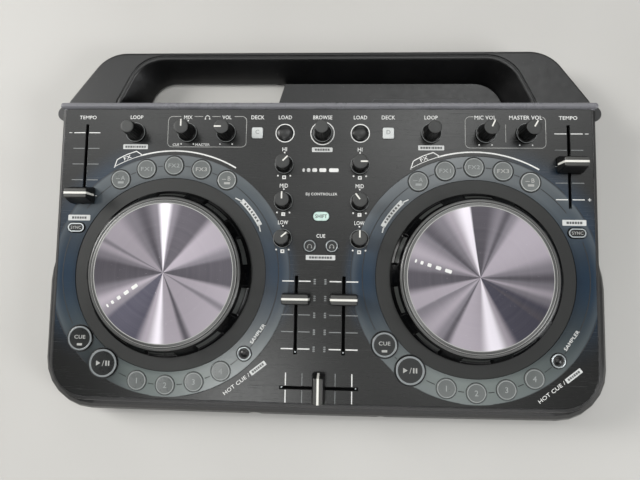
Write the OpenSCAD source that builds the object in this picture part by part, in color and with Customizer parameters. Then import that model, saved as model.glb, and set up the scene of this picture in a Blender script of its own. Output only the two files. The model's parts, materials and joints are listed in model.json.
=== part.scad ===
// Compact two-deck DJ controller with a fixed carry handle behind the body.
// Millimetres. +Z is up, the table is z = 0, +Y points away from the player,
// X = 0 is the centre line. The origin is the middle of the footprint.

/* [Case] */
// Half width of the case at the rear edge
case_hw_rear = 185.6; // [185.2:0.1:186.4]
// Half width of the case at the front edge
case_hw_front = 184.4; // [184:0.1:185.4]
// Height of the top panel surface above the table
panel_z = 28; // [28:0.5:30]
// How far the lower case bulges past the panel at the front half of the sides
side_bulge = 7.4; // [5:0.2:8]
// How far the lower case stands out below the front edge
front_bulge = 8.4; // [6:0.2:8.8]
// Wall thickness of the moulded shells
wall = 2.4; // [2:0.1:2.6]
// Thickness of the flush top sheet
sheet = 1.0; // [0.8:0.1:1.2]
// Thickness of the upper case plate under the sheet
plate = 2.2; // [2:0.1:2.4]

/* [Handle] */
// Height of the handle's top face above the table
handle_top = 22; // [20:0.5:23]
// Distance from the centre of the footprint to the rear of the handle
handle_rear = 128; // [127:0.25:128.5]

/* [Jog wheels] */
// Distance from the centre line to each jog axis
jog_x = 103.04; // [102.5:0.1:103.5]
// Place of the jog axes along Y
jog_y = -32.04; // [-32.5:0.1:-31.5]
// Radius of the jog rim at its base
jog_r = 56.5; // [55.5:0.1:57]
// Height of the jog top above the top panel
jog_h = 13; // [12:0.1:13]
// Radius of the spun metal plate
disc_r = 48.9; // [48:0.1:49]
// Radius of the jog axle
axle_r = 5; // [4:0.1:5.5]
// Radial running clearance of the axle in its bushing
axle_gap = 0.05; // [0.02:0.01:0.1]

/* [Buttons] */
// Radius of the circle that carries the deck buttons
ring_r = 74.8; // [74.4:0.1:75.2]
// Radius of an effect key
fx_r = 6.6; // [6:0.1:6.8]
// Radius of a performance pad
pad_r = 6.5; // [6:0.1:6.7]
// Radius of the cue button
cue_r = 8.6; // [8:0.1:8.8]
// Radius of the play button
play_r = 9.8; // [9.4:0.1:10]
// Gap around each button in its hole
cap_gap = 0.3; // [0.2:0.05:0.4]

/* [Faders and knobs] */
// Travel of every fader
travel = 45; // [44:0.5:45]
// Radius of every knob shaft
shaft_r = 3; // [2.8:0.1:3]
// Height of the tall knobs above the top panel
tall_knob = 15.2; // [13:0.1:16]
// Height of the equaliser knobs above the top panel
short_knob = 11.5; // [10:0.1:13]

/* [Hidden] */
$fn = 64;
overlap = 0.01;
left = -1;
right = 1;
sides = [left, right];

// Heights
case_z = 2;                          // underside of the lower case and handle
floor_z = case_z + wall;             // inner floor of the lower case
split_z = panel_z - 5;               // joint line between the two shells
plate_z = panel_z - sheet - plate;   // underside of the upper case plate
pcb_z = 9;                           // underside of the circuit board
pcb_t = 1.6;
pcb_top = pcb_z + pcb_t;
plunger_top = panel_z - 8.4;         // top of every switch plunger
stem_low = panel_z - 7.4;            // lowest point of every button at rest
flange_low = plate_z - 1.6;          // retaining flange of every button
flange_top = plate_z - 0.2;

// Case plan
front_y = -119.6;                    // front edge of the upper case
rear_y = 85.5;                       // rear wall of the body
surround_r = 66;                     // outer radius of the matt jog surround
screws = [[-174, 77], [174, 77], [-172.5, -42], [172.5, -42], [-60, -112], [60, -112],
          [-151, -108.5], [151, -108.5], [0, 78], [0, -38]];
feet = [[-165, 66], [165, 66], [-160, -98], [160, -98], [0, 98], [0, -106]];
screw_head_r = 3;
screw_r = 1.45;
foot_r = 6;

// Front sockets, microphone then headphones:
// x, half width of the board notch, case hole radius, bore radius, body width, nose radius
front_jacks = [[-44, 8.5, 5.1, 3.25, 15, 4.9], [42, 5.5, 3.6, 1.8, 9, 3.4]];
front_jack_z = 11.5;
line_out_x = [44, 60];
line_out_z = 14;

// Top row knobs: x, height, flange radius, pointer angle clockwise from rear
row_y = 66.16;
no_pointer = -1;
top_knobs = [[-131.2, tall_knob, 6.9, no_pointer],
             [-94.5, tall_knob, 6.9, 0],
             [-67.1, tall_knob, 6.9, 270],
             [0, tall_knob, 6.6, no_pointer],
             [74.4, tall_knob, 6.9, no_pointer],
             [111.05, tall_knob, 6.9, 25],
             [138.15, tall_knob, 6.9, 30]];
// Equaliser knobs, high to low; pointer angles for the left and right columns
eq_x = 26;
eq_y = [43.75, 18.2, -7.2];
eq_turn = [[45, 0, 50], [90, -38, 0]];
eq_flange_r = 6.5;

// Places on the right side, mirrored for the left
load_xy = [26.06, row_y];
deck_xy = [45.3, row_y];
monitor_xy = [7.5, -12.1];
sync_xy = [170.2, -1.3];
tempo_xy = [166.4, 43.6];
channel_xy = [16, -58.5];
shift_y = 8.2;
cross_y = -106.4;

// Faders
slot_w = 2.2;
tempo_slot = travel + 12;
short_slot = travel + 7.2;           // channel faders and crossfader
tempo_lever = 9;
short_lever = 5;
tempo_shift = [-travel/2, 0.9];      // left and right caps, from the middle of the slot
channel_cap_y = -47.9;

// Buttons
load_r = 5.3;
monitor_r = 4.2;
sampler_r = 4.7;
stem_r = 2;
sync_size = [12.2, 7];
shift_size = [11, 6.2];
deck_size = 7.8;

// Angles on the button circle, clockwise from the rear
fx_span = 60;
fx_a = [-fx_span/2 : 15 : fx_span/2];
pad_a = [195, 180, 165, 150];
sampler_a = 135;
play_a = 215;
cue_a = 233;
// Angle and radius of each button on the circle
ring_buttons = concat([for (a = fx_a) [a, fx_r]], [for (a = pad_a) [a, pad_r]],
  [[sampler_a, sampler_r], [play_a, play_r], [cue_a, cue_r]]);

function pick(pair, side) = pair[side < 0 ? 0 : 1];
function at_side(side, place) = [side * place[0], place[1]];
function ring_xy(side, angle) =
  [side * jog_x + ring_r * sin(angle), jog_y + ring_r * cos(angle)];
// Place and radius of each round button on one side
function round_buttons(side) = concat(
  [for (button = ring_buttons) [ring_xy(side, button[0]), button[1]]],
  [[at_side(side, load_xy), load_r], [at_side(side, monitor_xy), monitor_r]]);
knob_places = concat([for (row = top_knobs) [row[0], row_y]],
  [for (side = sides) for (y = eq_y) [side * eq_x, y]]);

// --- outline helpers -------------------------------------------------------
function unit(v) = v / norm(v);
function left_normal(from, to) = let(along = unit(to - from)) [-along[1], along[0]];
// Moves every edge of a counter-clockwise outline inwards
function inset(points, distance) = let(count = len(points)) [for (i = [0:count-1])
  let(normal_in = left_normal(points[(i+count-1)%count], points[i]),
      normal_out = left_normal(points[i], points[(i+1)%count]))
  points[i] + distance * (normal_in + normal_out) / (1 + normal_in * normal_out)];
// Rounds the corners of an outline; radius 0 keeps the point
function fillet(points, radii, steps = 6) = let(count = len(points)) [for (i = [0:count-1])
  let(corner = points[i], radius = radii[i]) each (radius == 0 ? [corner] :
    let(back = unit(points[(i+count-1)%count] - corner),
        ahead = unit(points[(i+1)%count] - corner),
        angle = acos(max(-1, min(1, back * ahead))),
        reach = radius / tan(angle/2),
        centre = corner + unit(back + ahead) * radius / sin(angle/2),
        first = corner + back * reach - centre,
        last = corner + ahead * reach - centre,
        start = atan2(first[1], first[0]),
        turn = atan2(last[1], last[0]) - start,
        sweep = turn > 180 ? turn - 360 : (turn < -180 ? turn + 360 : turn))
    [for (j = [0:steps])
      centre + radius * [cos(start + sweep*j/steps), sin(start + sweep*j/steps)]])];
function reversed(list) = [for (i = [len(list)-1:-1:0]) list[i]];
function mirrored(points) = [for (p = points) [-p[0], p[1]]];
// Solid through a stack of rings [z, outline], lowest first
module loft(rings) {
  count = len(rings[0][1]);
  levels = len(rings);
  points = [for (ring = rings) for (p = ring[1]) [p[0], p[1], ring[0]]];
  faces = concat(
    [[for (i = [0:count-1]) i]],
    [[for (i = [count-1:-1:0]) (levels-1)*count + i]],
    [for (k = [0:levels-2]) for (i = [0:count-1])
      let(j = (i+1)%count, low = k*count, high = low + count) each
      [[low+i, high+i, high+j], [low+i, high+j, low+j]]]);
  polyhedron(points = points, faces = faces, convexity = 4);
}

// --- case outlines ---------------------------------------------------------
// Slightly bowed front edge, left to right
function front_edge(half, y) =
  [[-half, y + 1.2], [-90, y + 0.35], [0, y], [90, y + 0.35], [half, y + 1.2]];
// Upper case and panel outline, stepped in: straight tapering sides, round front corners
function top_ring(step) = let(
  y = rear_y + 1.6 - step, half = case_hw_rear - step, corner = max(2, 26 - step))
  fillet(concat([[half, y], [-half, y]], front_edge(case_hw_front - step, front_y + step)),
    [2.5, 2.5, corner, 0, 0, 0, corner]);
// Share of the side bulge at y: none at the rear, full towards the front
function swell(y) = let(t = min(1, max(0, (-2 - y) / 36))) t * t * (3 - 2 * t);
function half_width(y) = case_hw_front
  + (case_hw_rear - case_hw_front) * (y - front_y) / (rear_y - front_y);
side_ys = [-86, -62, -38, -30, -22, -14, -8, 0, 24, 52];
front_corner_y = -119;
// Lower case outline, stepped in, with its bulge at the sides and front
function low_ring(step, side_out, front_out) = let(
  flank = [for (y = side_ys) [half_width(y) + side_out * swell(y) - step, y]],
  flat = [for (y = side_ys) 0],
  rear_half = case_hw_rear - step,
  front_half = half_width(front_corner_y) + side_out - step,
  corner = max(4, 33 - step))
  fillet(
    concat([[rear_half, rear_y - step], [-rear_half, rear_y - step]], mirrored(reversed(flank)),
      front_edge(front_half, front_y - front_out + step), flank),
    concat([1.2, 1.2], flat, [corner, 0, 0, 0, corner], flat));
// Plan of the flush sheet: the case outline stepped in, cut straight at the rear bar
module sheet_plan(gap) intersection() {
  polygon(top_ring(3.1 + gap));
  translate([-250, 83.2 - gap - 300]) square([500, 300]);
}

// --- shared shapes and cut-outs --------------------------------------------
// Upright cylinder between two heights
module rod(place, radius, low, high)
  translate([place[0], place[1], low]) cylinder(r = radius, h = high - low);
// Level cylinder running forward from a place
module front_rod(place, radius, length)
  translate(place) rotate([90, 0, 0]) cylinder(r = radius, h = length);
// Bar with round ends along X; size is length and width
module pill(size, low, high) {
  straight = size[0] - size[1];
  for (side = sides) rod([side * straight/2, 0], size[1]/2, low, high);
  translate([-straight/2, -size[1]/2, low]) cube([straight, size[1], high - low]);
}
module round_square(size, radius, low, high) for (a = [0, 90]) rotate([0, 0, a]) {
  translate([-size/2, -size/2 + radius, low]) cube([size, size - 2*radius, high - low]);
  for (b = [0, 180]) rotate([0, 0, b]) rod([size/2 - radius, size/2 - radius], radius, low, high);
}
// Box centred on a place, grown all round
module slot(place, size, grow, low, high)
  translate([place[0] - size[0]/2 - grow, place[1] - size[1]/2 - grow, low])
    cube([size[0] + 2*grow, size[1] + 2*grow, high - low]);
// Every opening that controls pass through, enlarged all round by grow
module openings(grow, low, high) {
  gap = cap_gap + grow;
  both = [2*gap, 2*gap];
  for (place = knob_places) rod(place, shaft_r + 0.6 + grow, low, high);
  for (side = sides) {
    for (button = round_buttons(side)) rod(button[0], button[1] + gap, low, high);
    translate(at_side(side, deck_xy)) round_square(deck_size + 2*gap, 1.5, low, high);
    translate(at_side(side, sync_xy)) pill(sync_size + both, low, high);
    slot(at_side(side, tempo_xy), [slot_w, tempo_slot], grow, low, high);
    slot(at_side(side, channel_xy), [slot_w, short_slot], grow, low, high);
  }
  translate([0, shift_y, 0]) pill(shift_size + both, low, high);
  slot([0, cross_y], [short_slot, slot_w], grow, low, high);
}
// Light ring round one jog, trimmed straight near the case edges
module light_band(side, gap, height) intersection() {
  translate([side * jog_x, jog_y, panel_z - sheet - 1.2]) difference() {
    cylinder(r = 81.3 + gap, h = height);
    translate([0, 0, -1]) cylinder(r = 67.2 - gap, h = 4);
  }
  translate([-175.9 - gap, -114.4 - gap, 0]) cube([351.8 + 2*gap, 179.8 + 2*gap, 60]);
}

// --- casework --------------------------------------------------------------
// Lower case levels: z, step in, side bulge, front bulge
lower_levels = [
  [case_z, 7, 1.5, 1.5], [3.4, 3.2, 4.2, 4.6], [6.5, 0.7, 6.6, 7.9],
  [10, 0, side_bulge, front_bulge], [14, 0, side_bulge, 7.9], [18, 0, 6.6, 5.8],
  [split_z - 2, 0, 4.0, 3.1], [split_z, 0, 0.4, 0.4]];
lip_plan = [[33, 80.5], [108, 80.5], [107, 95.8], [102.8, 99.5], [36.8, 99.5], [33.9, 95.8]];
module lower_shell() difference() {
  loft([for (v = lower_levels) [v[0], low_ring(v[1], v[2], v[3])]]);
  translate([0, 0, floor_z]) linear_extrude(height = 40) polygon(low_ring(wall + 4, 1.5, 1.5));
  translate([0, 0, 7]) linear_extrude(height = split_z - 10)
    polygon(low_ring(wall + 0.1, 3.4, 2.4));
  translate([0, 0, 7]) linear_extrude(height = 40) polygon(low_ring(wall + 0.1, 0, 0));
}
// Low shelf behind the body, reaching the handle over the right half
module shelf() translate([0, 0, case_z]) linear_extrude(height = 1.8) intersection() {
  polygon(fillet(inset(grip_in, 10.1), [0, 13, 22, 22, 13, 0], 8));
  polygon([[-40, rear_y - 8], [150, rear_y - 8], [150, 130], [-24, 130]]);
}
module lower_case() color([0.09, 0.09, 0.095]) difference() {
  union() {
    lower_shell();
    shelf();
    // raised lip below the rear sockets
    translate([0, 0, 3.2]) linear_extrude(height = 1.8) polygon(lip_plan);
    // screw posts, board posts and ribs below the front sockets
    for (p = screws) rod(p, 4.6, floor_z - 0.5, split_z - 8);
    for (x = [-120, -40, 40, 120]) for (y = [-60, 50]) rod([x, y], 3, floor_z - 0.5, pcb_z);
    for (jack = front_jacks)
      translate([jack[0] - jack[1] + 2, -106, floor_z - 0.5]) cube([2 * jack[1] - 4, 4, 1.5]);
  }
  for (p = screws) {
    rod(p, 1.8, 0, 30);
    rod(p, screw_head_r + 0.3, -1, 6);
  }
  for (p = feet) rod(p, foot_r + 0.1, -1, 2.8);
  for (jack = front_jacks) front_rod([jack[0], -110, front_jack_z], jack[2], 30);
  // rear sockets: line output pair and data port
  for (x = line_out_x) front_rod([x, rear_y + 5, line_out_z], 4.8, 12);
  translate([78, rear_y - 8, 10.3]) cube([12.6, 14, 11.6]);
}

// Rounded rear bar and the lobes at its ends
module rear_bar() {
  radius = 2.3;
  bar_y = 85.6;
  bar_z = panel_z - 0.6;
  half = case_hw_rear - 1;
  translate([-half, bar_y, bar_z]) rotate([0, 90, 0]) cylinder(r = radius, h = 2*half);
  for (side = sides) {
    rod([side * (case_hw_rear - 1.6), 80.6], 5.4, split_z, split_z + 3.4);
    translate([side * half, bar_y, bar_z]) sphere(r = radius);
  }
}
module upper_case() color([0.11, 0.11, 0.115]) difference() {
  union() {
    difference() {
      loft([[split_z, top_ring(0.1)], [panel_z - 2.6, top_ring(0.1)],
            [panel_z - 1.2, top_ring(0.7)], [panel_z, top_ring(2.4)]]);
      translate([0, 0, split_z - overlap]) linear_extrude(height = plate_z - split_z + overlap)
        polygon(top_ring(wall + 0.6));
      // pocket for the flush top sheet
      translate([0, 0, panel_z - sheet]) linear_extrude(height = 5) sheet_plan(0);
    }
    rear_bar();
    // matt surround under each jog wheel
    for (side = sides) rod([side * jog_x, jog_y], surround_r, plate_z, panel_z - 0.3);
    for (p = screws) rod(p, 4.1, split_z - 8, plate_z + 0.5);
  }
  openings(0, plate_z - 1, panel_z + 1);
  for (side = sides) {
    rod([side * jog_x, jog_y], 9, plate_z - 1, panel_z + 2);
    // seat of the light ring
    light_band(side, gap = 0.1, height = 2.2);
  }
  for (p = screws) rod(p, 1.5, 0, plate_z - 1.2);
  // rear wall relief over the shelf
  translate([-170, rear_y + 0.2, split_z - 1]) cube([340, 4, 1 + overlap]);
}

module top_panel() color([0.25, 0.25, 0.24]) difference() {
  translate([0, 0, panel_z - sheet]) linear_extrude(height = sheet) sheet_plan(0.15);
  for (side = sides) rod([side * jog_x, jog_y], surround_r + 0.1, 0, 60);
  openings(0, 0, 60);
}

module light_rings() color([0.55, 0.65, 0.8, 0.7]) difference() {
  for (side = sides) light_band(side, gap = 0, height = 1.2);
  openings(0.5, 0, 60);
}

// Outer and inner edges of the handle, a U open towards the body
grip_out = [[186.4, 70], [186.0, 90.4], [157.6, handle_rear],
            [-157.6, handle_rear], [-186.0, 90.4], [-186.4, 70]];
grip_in = [[146.4, 70], [144.6, 90.4], [128.8, 121.4],
           [-131, 121.7], [-146.4, 90.4], [-147.6, 70]];
// Handle levels: z, inset of the outer edge, inset of the inner edge
handle_levels = [[case_z, 1.5, 9.6], [3.4, 0.3, 9.2], [8, 0, 7.4], [handle_top - 4, 0, 1.8],
                 [handle_top - 1.2, 0.5, 0], [handle_top, 2, -1.2]];
// Swaps the end points of an edge for points on the rear wall of the body
function cut_at_body(edge) = let(last = len(edge) - 1)
  [for (i = [0:last]) i == 0 || i == last ? [edge[i][0], rear_y] : edge[i]];
function grip_ring(outer, inner) = let(
  outer_r = 28 - outer,
  inner_r = 25 - inner/2,
  outside = fillet(inset(grip_out, outer), [0, 8, outer_r, outer_r, 8, 0], 8),
  inside = fillet(inset(grip_in, inner), [0, 12, inner_r, inner_r, 12, 0], 8))
  concat(cut_at_body(outside), reversed(cut_at_body(inside)));
module handle_frame() color([0.1, 0.1, 0.105])
  loft([for (v = handle_levels) [v[0], grip_ring(v[1], v[2])]]);

module rubber_feet() color([0.04, 0.04, 0.04]) for (p = feet) {
  rod(p, foot_r - 0.6, 0, 0.8);
  rod(p, foot_r, 0.6, 2.8);
}

module case_screws() color([0.55, 0.55, 0.57]) for (p = screws) translate(p) difference() {
  union() {
    rod([0, 0], screw_head_r, 3.6, 6);
    rod([0, 0], screw_r, 5.9, plate_z - 1.6);
  }
  // cross recess
  for (a = [0, 90]) rotate([0, 0, a]) translate([-1.8, -0.35, 3]) cube([3.6, 0.7, 1.8]);
}

// --- inside ----------------------------------------------------------------
board_plan = [[174, 71], [-174, 71], [-174, -70], [-168, -90], [-156, -101], [-140, -110],
              [140, -110], [156, -101], [168, -90], [174, -70]];
// Controller, memory and converter packages, power filter: x, y, width, depth, height
chips = [[-60, 12, 14, 14, 1.4], [-84, 18, 10, 10, 1.2], [60, 6, 12, 9, 1.2],
         [110, 44, 7, 7, 1.1], [96, 24, 5, 9, 1.4], [-104, 30, 6, 5, 1.2]];
// Round upright parts
cans = [[100, 70], [20, -92], [-20, -92]];
module main_board() color([0.05, 0.25, 0.12]) translate([0, 0, pcb_z]) {
  part_z = pcb_t - 0.05;
  difference() {
    linear_extrude(height = pcb_t) polygon(board_plan);
    for (p = screws) if (p[1] < 70) rod(p, 5.4, -1, 4);
    for (jack = front_jacks) translate([jack[0] - jack[1], -130, -1])
      cube([2 * jack[1], 33.2, 5]);
  }
  for (c = chips) translate([c[0] - c[2]/2, c[1] - c[3]/2, part_z]) cube([c[2], c[3], c[4]]);
  for (p = cans) rod(p, 3.1, part_z, part_z + 6);
}

module fader_body(length, lever) {
  groove = travel + lever + slot_w;
  difference() {
    translate([-4.5, -length/2, 0]) cube([9, length, 7]);
    translate([-slot_w/2, -groove/2, 1.4]) cube([slot_w, groove, 8]);
  }
}
module fader_modules() color([0.6, 0.6, 0.62]) translate([0, 0, pcb_top]) {
  for (side = sides) {
    translate(at_side(side, tempo_xy)) fader_body(59, tempo_lever);
    translate(at_side(side, channel_xy)) fader_body(58, short_lever);
  }
  translate([0, cross_y, 0]) rotate([0, 0, 90]) fader_body(58, short_lever);
}

module rotary(place) difference() {
  union() {
    translate([place[0] - 5, place[1] - 5.4, pcb_top]) cube([10, 10.8, 6.6]);
    rod(place, 4.2, pcb_top + 6, pcb_top + 9.4);
  }
  rod(place, shaft_r + 0.05, pcb_top + 0.8, 40);
}
module rotary_modules() color([0.5, 0.5, 0.52]) for (place = knob_places) rotary(place);

module switch(place) {
  translate([place[0] - 3, place[1] - 3, pcb_top]) cube([6, 6, 3.5]);
  rod(place, 1.7, pcb_top + 3, plunger_top);
}
module tact_switches() color([0.15, 0.15, 0.16]) {
  for (side = sides) {
    for (button = round_buttons(side)) switch(button[0]);
    for (place = [deck_xy, sync_xy]) switch(at_side(side, place));
  }
  switch([0, shift_y]);
}

module jog_bushings() color([0.75, 0.7, 0.55])
  for (side = sides) translate([side * jog_x, jog_y, 0]) difference() {
    union() {
      rod([0, 0], 9, 14, panel_z + 1.4);
      rod([0, 0], 13, plate_z - 1.6, plate_z);
    }
    rod([0, 0], axle_r + axle_gap, 13, 43);
  }

module front_jack(bore, body, nose) difference() {
  union() {
    translate([-body/2, 0, -5.5]) cube([body, 15, 11]);
    front_rod([0, 0.1, 0], nose, 12.8);
  }
  front_rod([0, 13, 0], bore, 40);
}
module line_out() {
  translate([-6.5, 73, -3.4]) cube([13, 9.8, 8.6]);
  difference() {
    union() {
      front_rod([0, rear_y + 5, 0], 4.15, 5);
      front_rod([0, rear_y + 0.1, 0], 4.7, 3);
    }
    front_rod([0, rear_y + 10, 0], 1.6, 9);
  }
}
module data_port() {
  difference() {
    translate([78.3, 72.2, pcb_top]) cube([12, rear_y - 72.2, 11]);
    translate([80.3, 75, pcb_top + 1.8]) cube([8, 20, 7.4]);
  }
  translate([82.3, 74, pcb_top + 4]) cube([4, rear_y - 76, 2.8]);
}
module io_jacks() color([0.2, 0.2, 0.2]) {
  for (jack = front_jacks) translate([jack[0], -112.4, front_jack_z])
    front_jack(bore = jack[3], body = jack[4], nose = jack[5]);
  for (x = line_out_x) translate([x, 0, line_out_z]) line_out();
  data_port();
}

// --- jog wheels ------------------------------------------------------------
// Profiles: radius, height above the top panel
seat_z = jog_h - 3;                  // where the metal plate rests
ring_profile = [
  [0, -13], [axle_r, -13], [axle_r, 1.7], [8, 1.7], [8, 7.2], [disc_r - 2.2, 7.2],
  [disc_r + 1.4, 4.6], [jog_r - 3.2, 1], [jog_r, 1], [jog_r, 2.1], [jog_r - 0.7, 4],
  [jog_r - 2.9, 8], [disc_r + 2.1, jog_h - 1.3], [disc_r + 1.3, jog_h - 0.7],
  [disc_r + 0.1, jog_h - 0.7], [disc_r + 0.1, seat_z], [0, seat_z]];
plate_profile = [
  [0, seat_z], [disc_r, seat_z], [disc_r, jog_h - 0.6], [disc_r - 0.5, jog_h - 0.35],
  [disc_r - 2.2, jog_h - 0.15], [disc_r - 2.3, jog_h], [0, jog_h]];
module jog_ring(side) color([0.06, 0.06, 0.06])
  translate([side * jog_x, jog_y, panel_z]) difference() {
    rotate_extrude($fn = 128) polygon(ring_profile);
    // finger recesses around the rim
    for (i = [0:9]) rotate([0, 0, 36 * i + 16.5]) translate([jog_r + 0.7, 0, 6.4])
      rotate([90, 0, 0]) cylinder(r = 3.4, h = 21, center = true);
  }
module jog_plate(side) color([0.6, 0.57, 0.62]) translate([side * jog_x, jog_y, panel_z])
  rotate_extrude($fn = 128) polygon(plate_profile);

// --- faders ----------------------------------------------------------------
function cap_ring(size) = let(x = size[0]/2, y = size[1]/2)
  fillet([[x, y], [-x, y], [-x, -y], [x, -y]], [1, 1, 1, 1], 3);
// Cap with its lever; sizes are across the slot, then along it
module fader_cap(base, top, height, lever) {
  loft([[0.8, cap_ring(base)], [2.2, cap_ring(base)],
        [height - 0.8, cap_ring(top + [0.4, 0.4])], [height, cap_ring(top - [0.8, 0.8])]]);
  translate([-0.7, -lever/2, pcb_top + 2 - panel_z]) cube([1.4, lever, panel_z - pcb_top]);
}
module tempo_cap(side) color([0.08, 0.08, 0.08])
  translate([side * tempo_xy[0], tempo_xy[1] + pick(tempo_shift, side), panel_z])
    fader_cap(base = [17, 11.4], top = [15.8, 6.6], height = 11.6, lever = tempo_lever);
module channel_cap(side) color([0.08, 0.08, 0.08])
  translate([side * channel_xy[0], channel_cap_y, panel_z])
    fader_cap(base = [18.4, 8], top = [17.6, 6.8], height = 10.6, lever = short_lever);
module crossfader_cap() color([0.08, 0.08, 0.08])
  translate([0, cross_y, panel_z]) rotate([0, 0, 90])
    fader_cap(base = [20.5, 8.4], top = [17, 6.8], height = 11, lever = short_lever);

// --- knobs -----------------------------------------------------------------
// Tapered cap on a flange, with its shaft; the pointer is a shallow groove
module knob(x, y, height, flange, turn) color([0.09, 0.09, 0.09])
  translate([x, y, panel_z]) difference() {
    union() {
      rotate_extrude() polygon([[0, 0.5], [flange, 0.5], [flange, 1.1], [flange - 0.8, 1.7],
        [flange - 1.3, 1.8], [flange - 1.6, 3], [5, height - 0.8], [4.7, height - 0.2],
        [4.3, height], [0, height]]);
      translate([0, 0, pcb_top + 1.2 - panel_z]) cylinder(r = shaft_r, h = panel_z - pcb_top);
    }
    if (turn != no_pointer)
      rotate([0, 0, -turn]) translate([-0.35, 0.6, height - 0.25]) cube([0.7, 6, 3]);
  }
module top_knob(i) {
  row = top_knobs[i];
  knob(row[0], row_y, row[1], row[2], row[3]);
}
module eq_knob(side, i)
  knob(side * eq_x, eq_y[i], short_knob, eq_flange_r, pick(eq_turn, side)[i]);

// --- buttons ---------------------------------------------------------------
// Round cap standing proud of the panel, flange under the plate, stem over its switch
module round_button(place, radius, proud) translate(place) {
  top = panel_z + proud;
  rotate_extrude() polygon([[0, stem_low], [stem_r, stem_low], [stem_r, flange_low],
    [radius + 1.2, flange_low], [radius + 1.2, flange_top], [radius, flange_top],
    [radius, top - 0.3], [radius - 0.3, top], [0, top]]);
}
module ring_button(side, angle, radius, proud)
  round_button(ring_xy(side, angle), radius, proud);
module stem() rod([0, 0], stem_r, stem_low, plate_z - 1.5);
// Long button; the flange is larger than the cap by lip
module pill_button(size, lip) {
  pill(size, flange_low, panel_z + 0.8);
  pill(size + [lip, lip], flange_low, flange_top);
  stem();
}
module fx_keys(side) color([0.45, 0.48, 0.5]) {
  for (a = fx_a) ring_button(side, a, fx_r, 0.5);
  // common carrier moulded with the five keys
  translate([side * jog_x, jog_y, flange_low]) rotate([0, 0, 90 - fx_span/2])
    rotate_extrude(angle = fx_span, $fn = 128) translate([ring_r - 1.6, 0]) square([3.2, 1.2]);
}
module pad(side, i) color([0.4, 0.45, 0.5]) ring_button(side, pad_a[i], pad_r, 0.5);
module play_button(side) color([0.12, 0.12, 0.12]) ring_button(side, play_a, play_r, 1);
module cue_button(side) color([0.12, 0.12, 0.12]) ring_button(side, cue_a, cue_r, 1);
module sampler_button(side) color([0.12, 0.12, 0.12])
  ring_button(side, sampler_a, sampler_r, 0.8);
module load_button(side) color([0.05, 0.05, 0.05])
  round_button(at_side(side, load_xy), load_r, 1.6);
module monitor_button(side) color([0.12, 0.12, 0.12])
  round_button(at_side(side, monitor_xy), monitor_r, 0.8);
module sync_button(side) color([0.15, 0.15, 0.15])
  translate(at_side(side, sync_xy)) pill_button(sync_size, lip = 1.8);
module shift_button() color([0.75, 0.88, 0.82])
  translate([0, shift_y, 0]) pill_button(shift_size, lip = 2);
module deck_button(side) color([0.8, 0.82, 0.82]) translate(at_side(side, deck_xy)) {
  round_square(deck_size, 1.2, flange_low, panel_z + 0.9);
  round_square(deck_size + 2, 1.5, flange_low, flange_top);
  stem();
}

lower_case();
upper_case();
top_panel();
light_rings();
handle_frame();
rubber_feet();
case_screws();
main_board();
fader_modules();
rotary_modules();
tact_switches();
jog_bushings();
io_jacks();
jog_ring(left);  // jog_ring_left
jog_ring(right);  // jog_ring_right
jog_plate(left);  // jog_plate_left
jog_plate(right);  // jog_plate_right
tempo_cap(left);  // tempo_cap_left
tempo_cap(right);  // tempo_cap_right
channel_cap(left);  // channel_cap_left
channel_cap(right);  // channel_cap_right
crossfader_cap();
top_knob(0);  // loop_knob_left
top_knob(4);  // loop_knob_right
top_knob(3);  // browse_knob
top_knob(1);  // phones_mix_knob
top_knob(2);  // phones_level_knob
top_knob(5);  // mic_level_knob
top_knob(6);  // master_level_knob
eq_knob(left, 0);  // eq_high_knob_left
eq_knob(left, 1);  // eq_mid_knob_left
eq_knob(left, 2);  // eq_low_knob_left
eq_knob(right, 0);  // eq_high_knob_right
eq_knob(right, 1);  // eq_mid_knob_right
eq_knob(right, 2);  // eq_low_knob_right
fx_keys(left);  // fx_keys_left
fx_keys(right);  // fx_keys_right
pad(left, 0);  // pad_1_left
pad(left, 1);  // pad_2_left
pad(left, 2);  // pad_3_left
pad(left, 3);  // pad_4_left
pad(right, 0);  // pad_1_right
pad(right, 1);  // pad_2_right
pad(right, 2);  // pad_3_right
pad(right, 3);  // pad_4_right
play_button(left);  // play_button_left
play_button(right);  // play_button_right
cue_button(left);  // cue_button_left
cue_button(right);  // cue_button_right
sampler_button(left);  // sampler_button_left
sampler_button(right);  // sampler_button_right
sync_button(left);  // sync_button_left
sync_button(right);  // sync_button_right
shift_button();
monitor_button(left);  // monitor_button_left
monitor_button(right);  // monitor_button_right
load_button(left);  // load_button_left
load_button(right);  // load_button_right
deck_button(left);  // deck_button_left
deck_button(right);  // deck_button_right
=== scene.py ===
"""Two-deck DJ controller lying flat: +X is its right, +Y its rear, +Z up.

The CAD pieces are in metres. Every size and place below is in millimetres unless noted,
and angles round a jog wheel run clockwise from +Y where polar() is used.
"""
import json
import math
import bmesh
import bpy
from mathutils import Matrix, Vector


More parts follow.
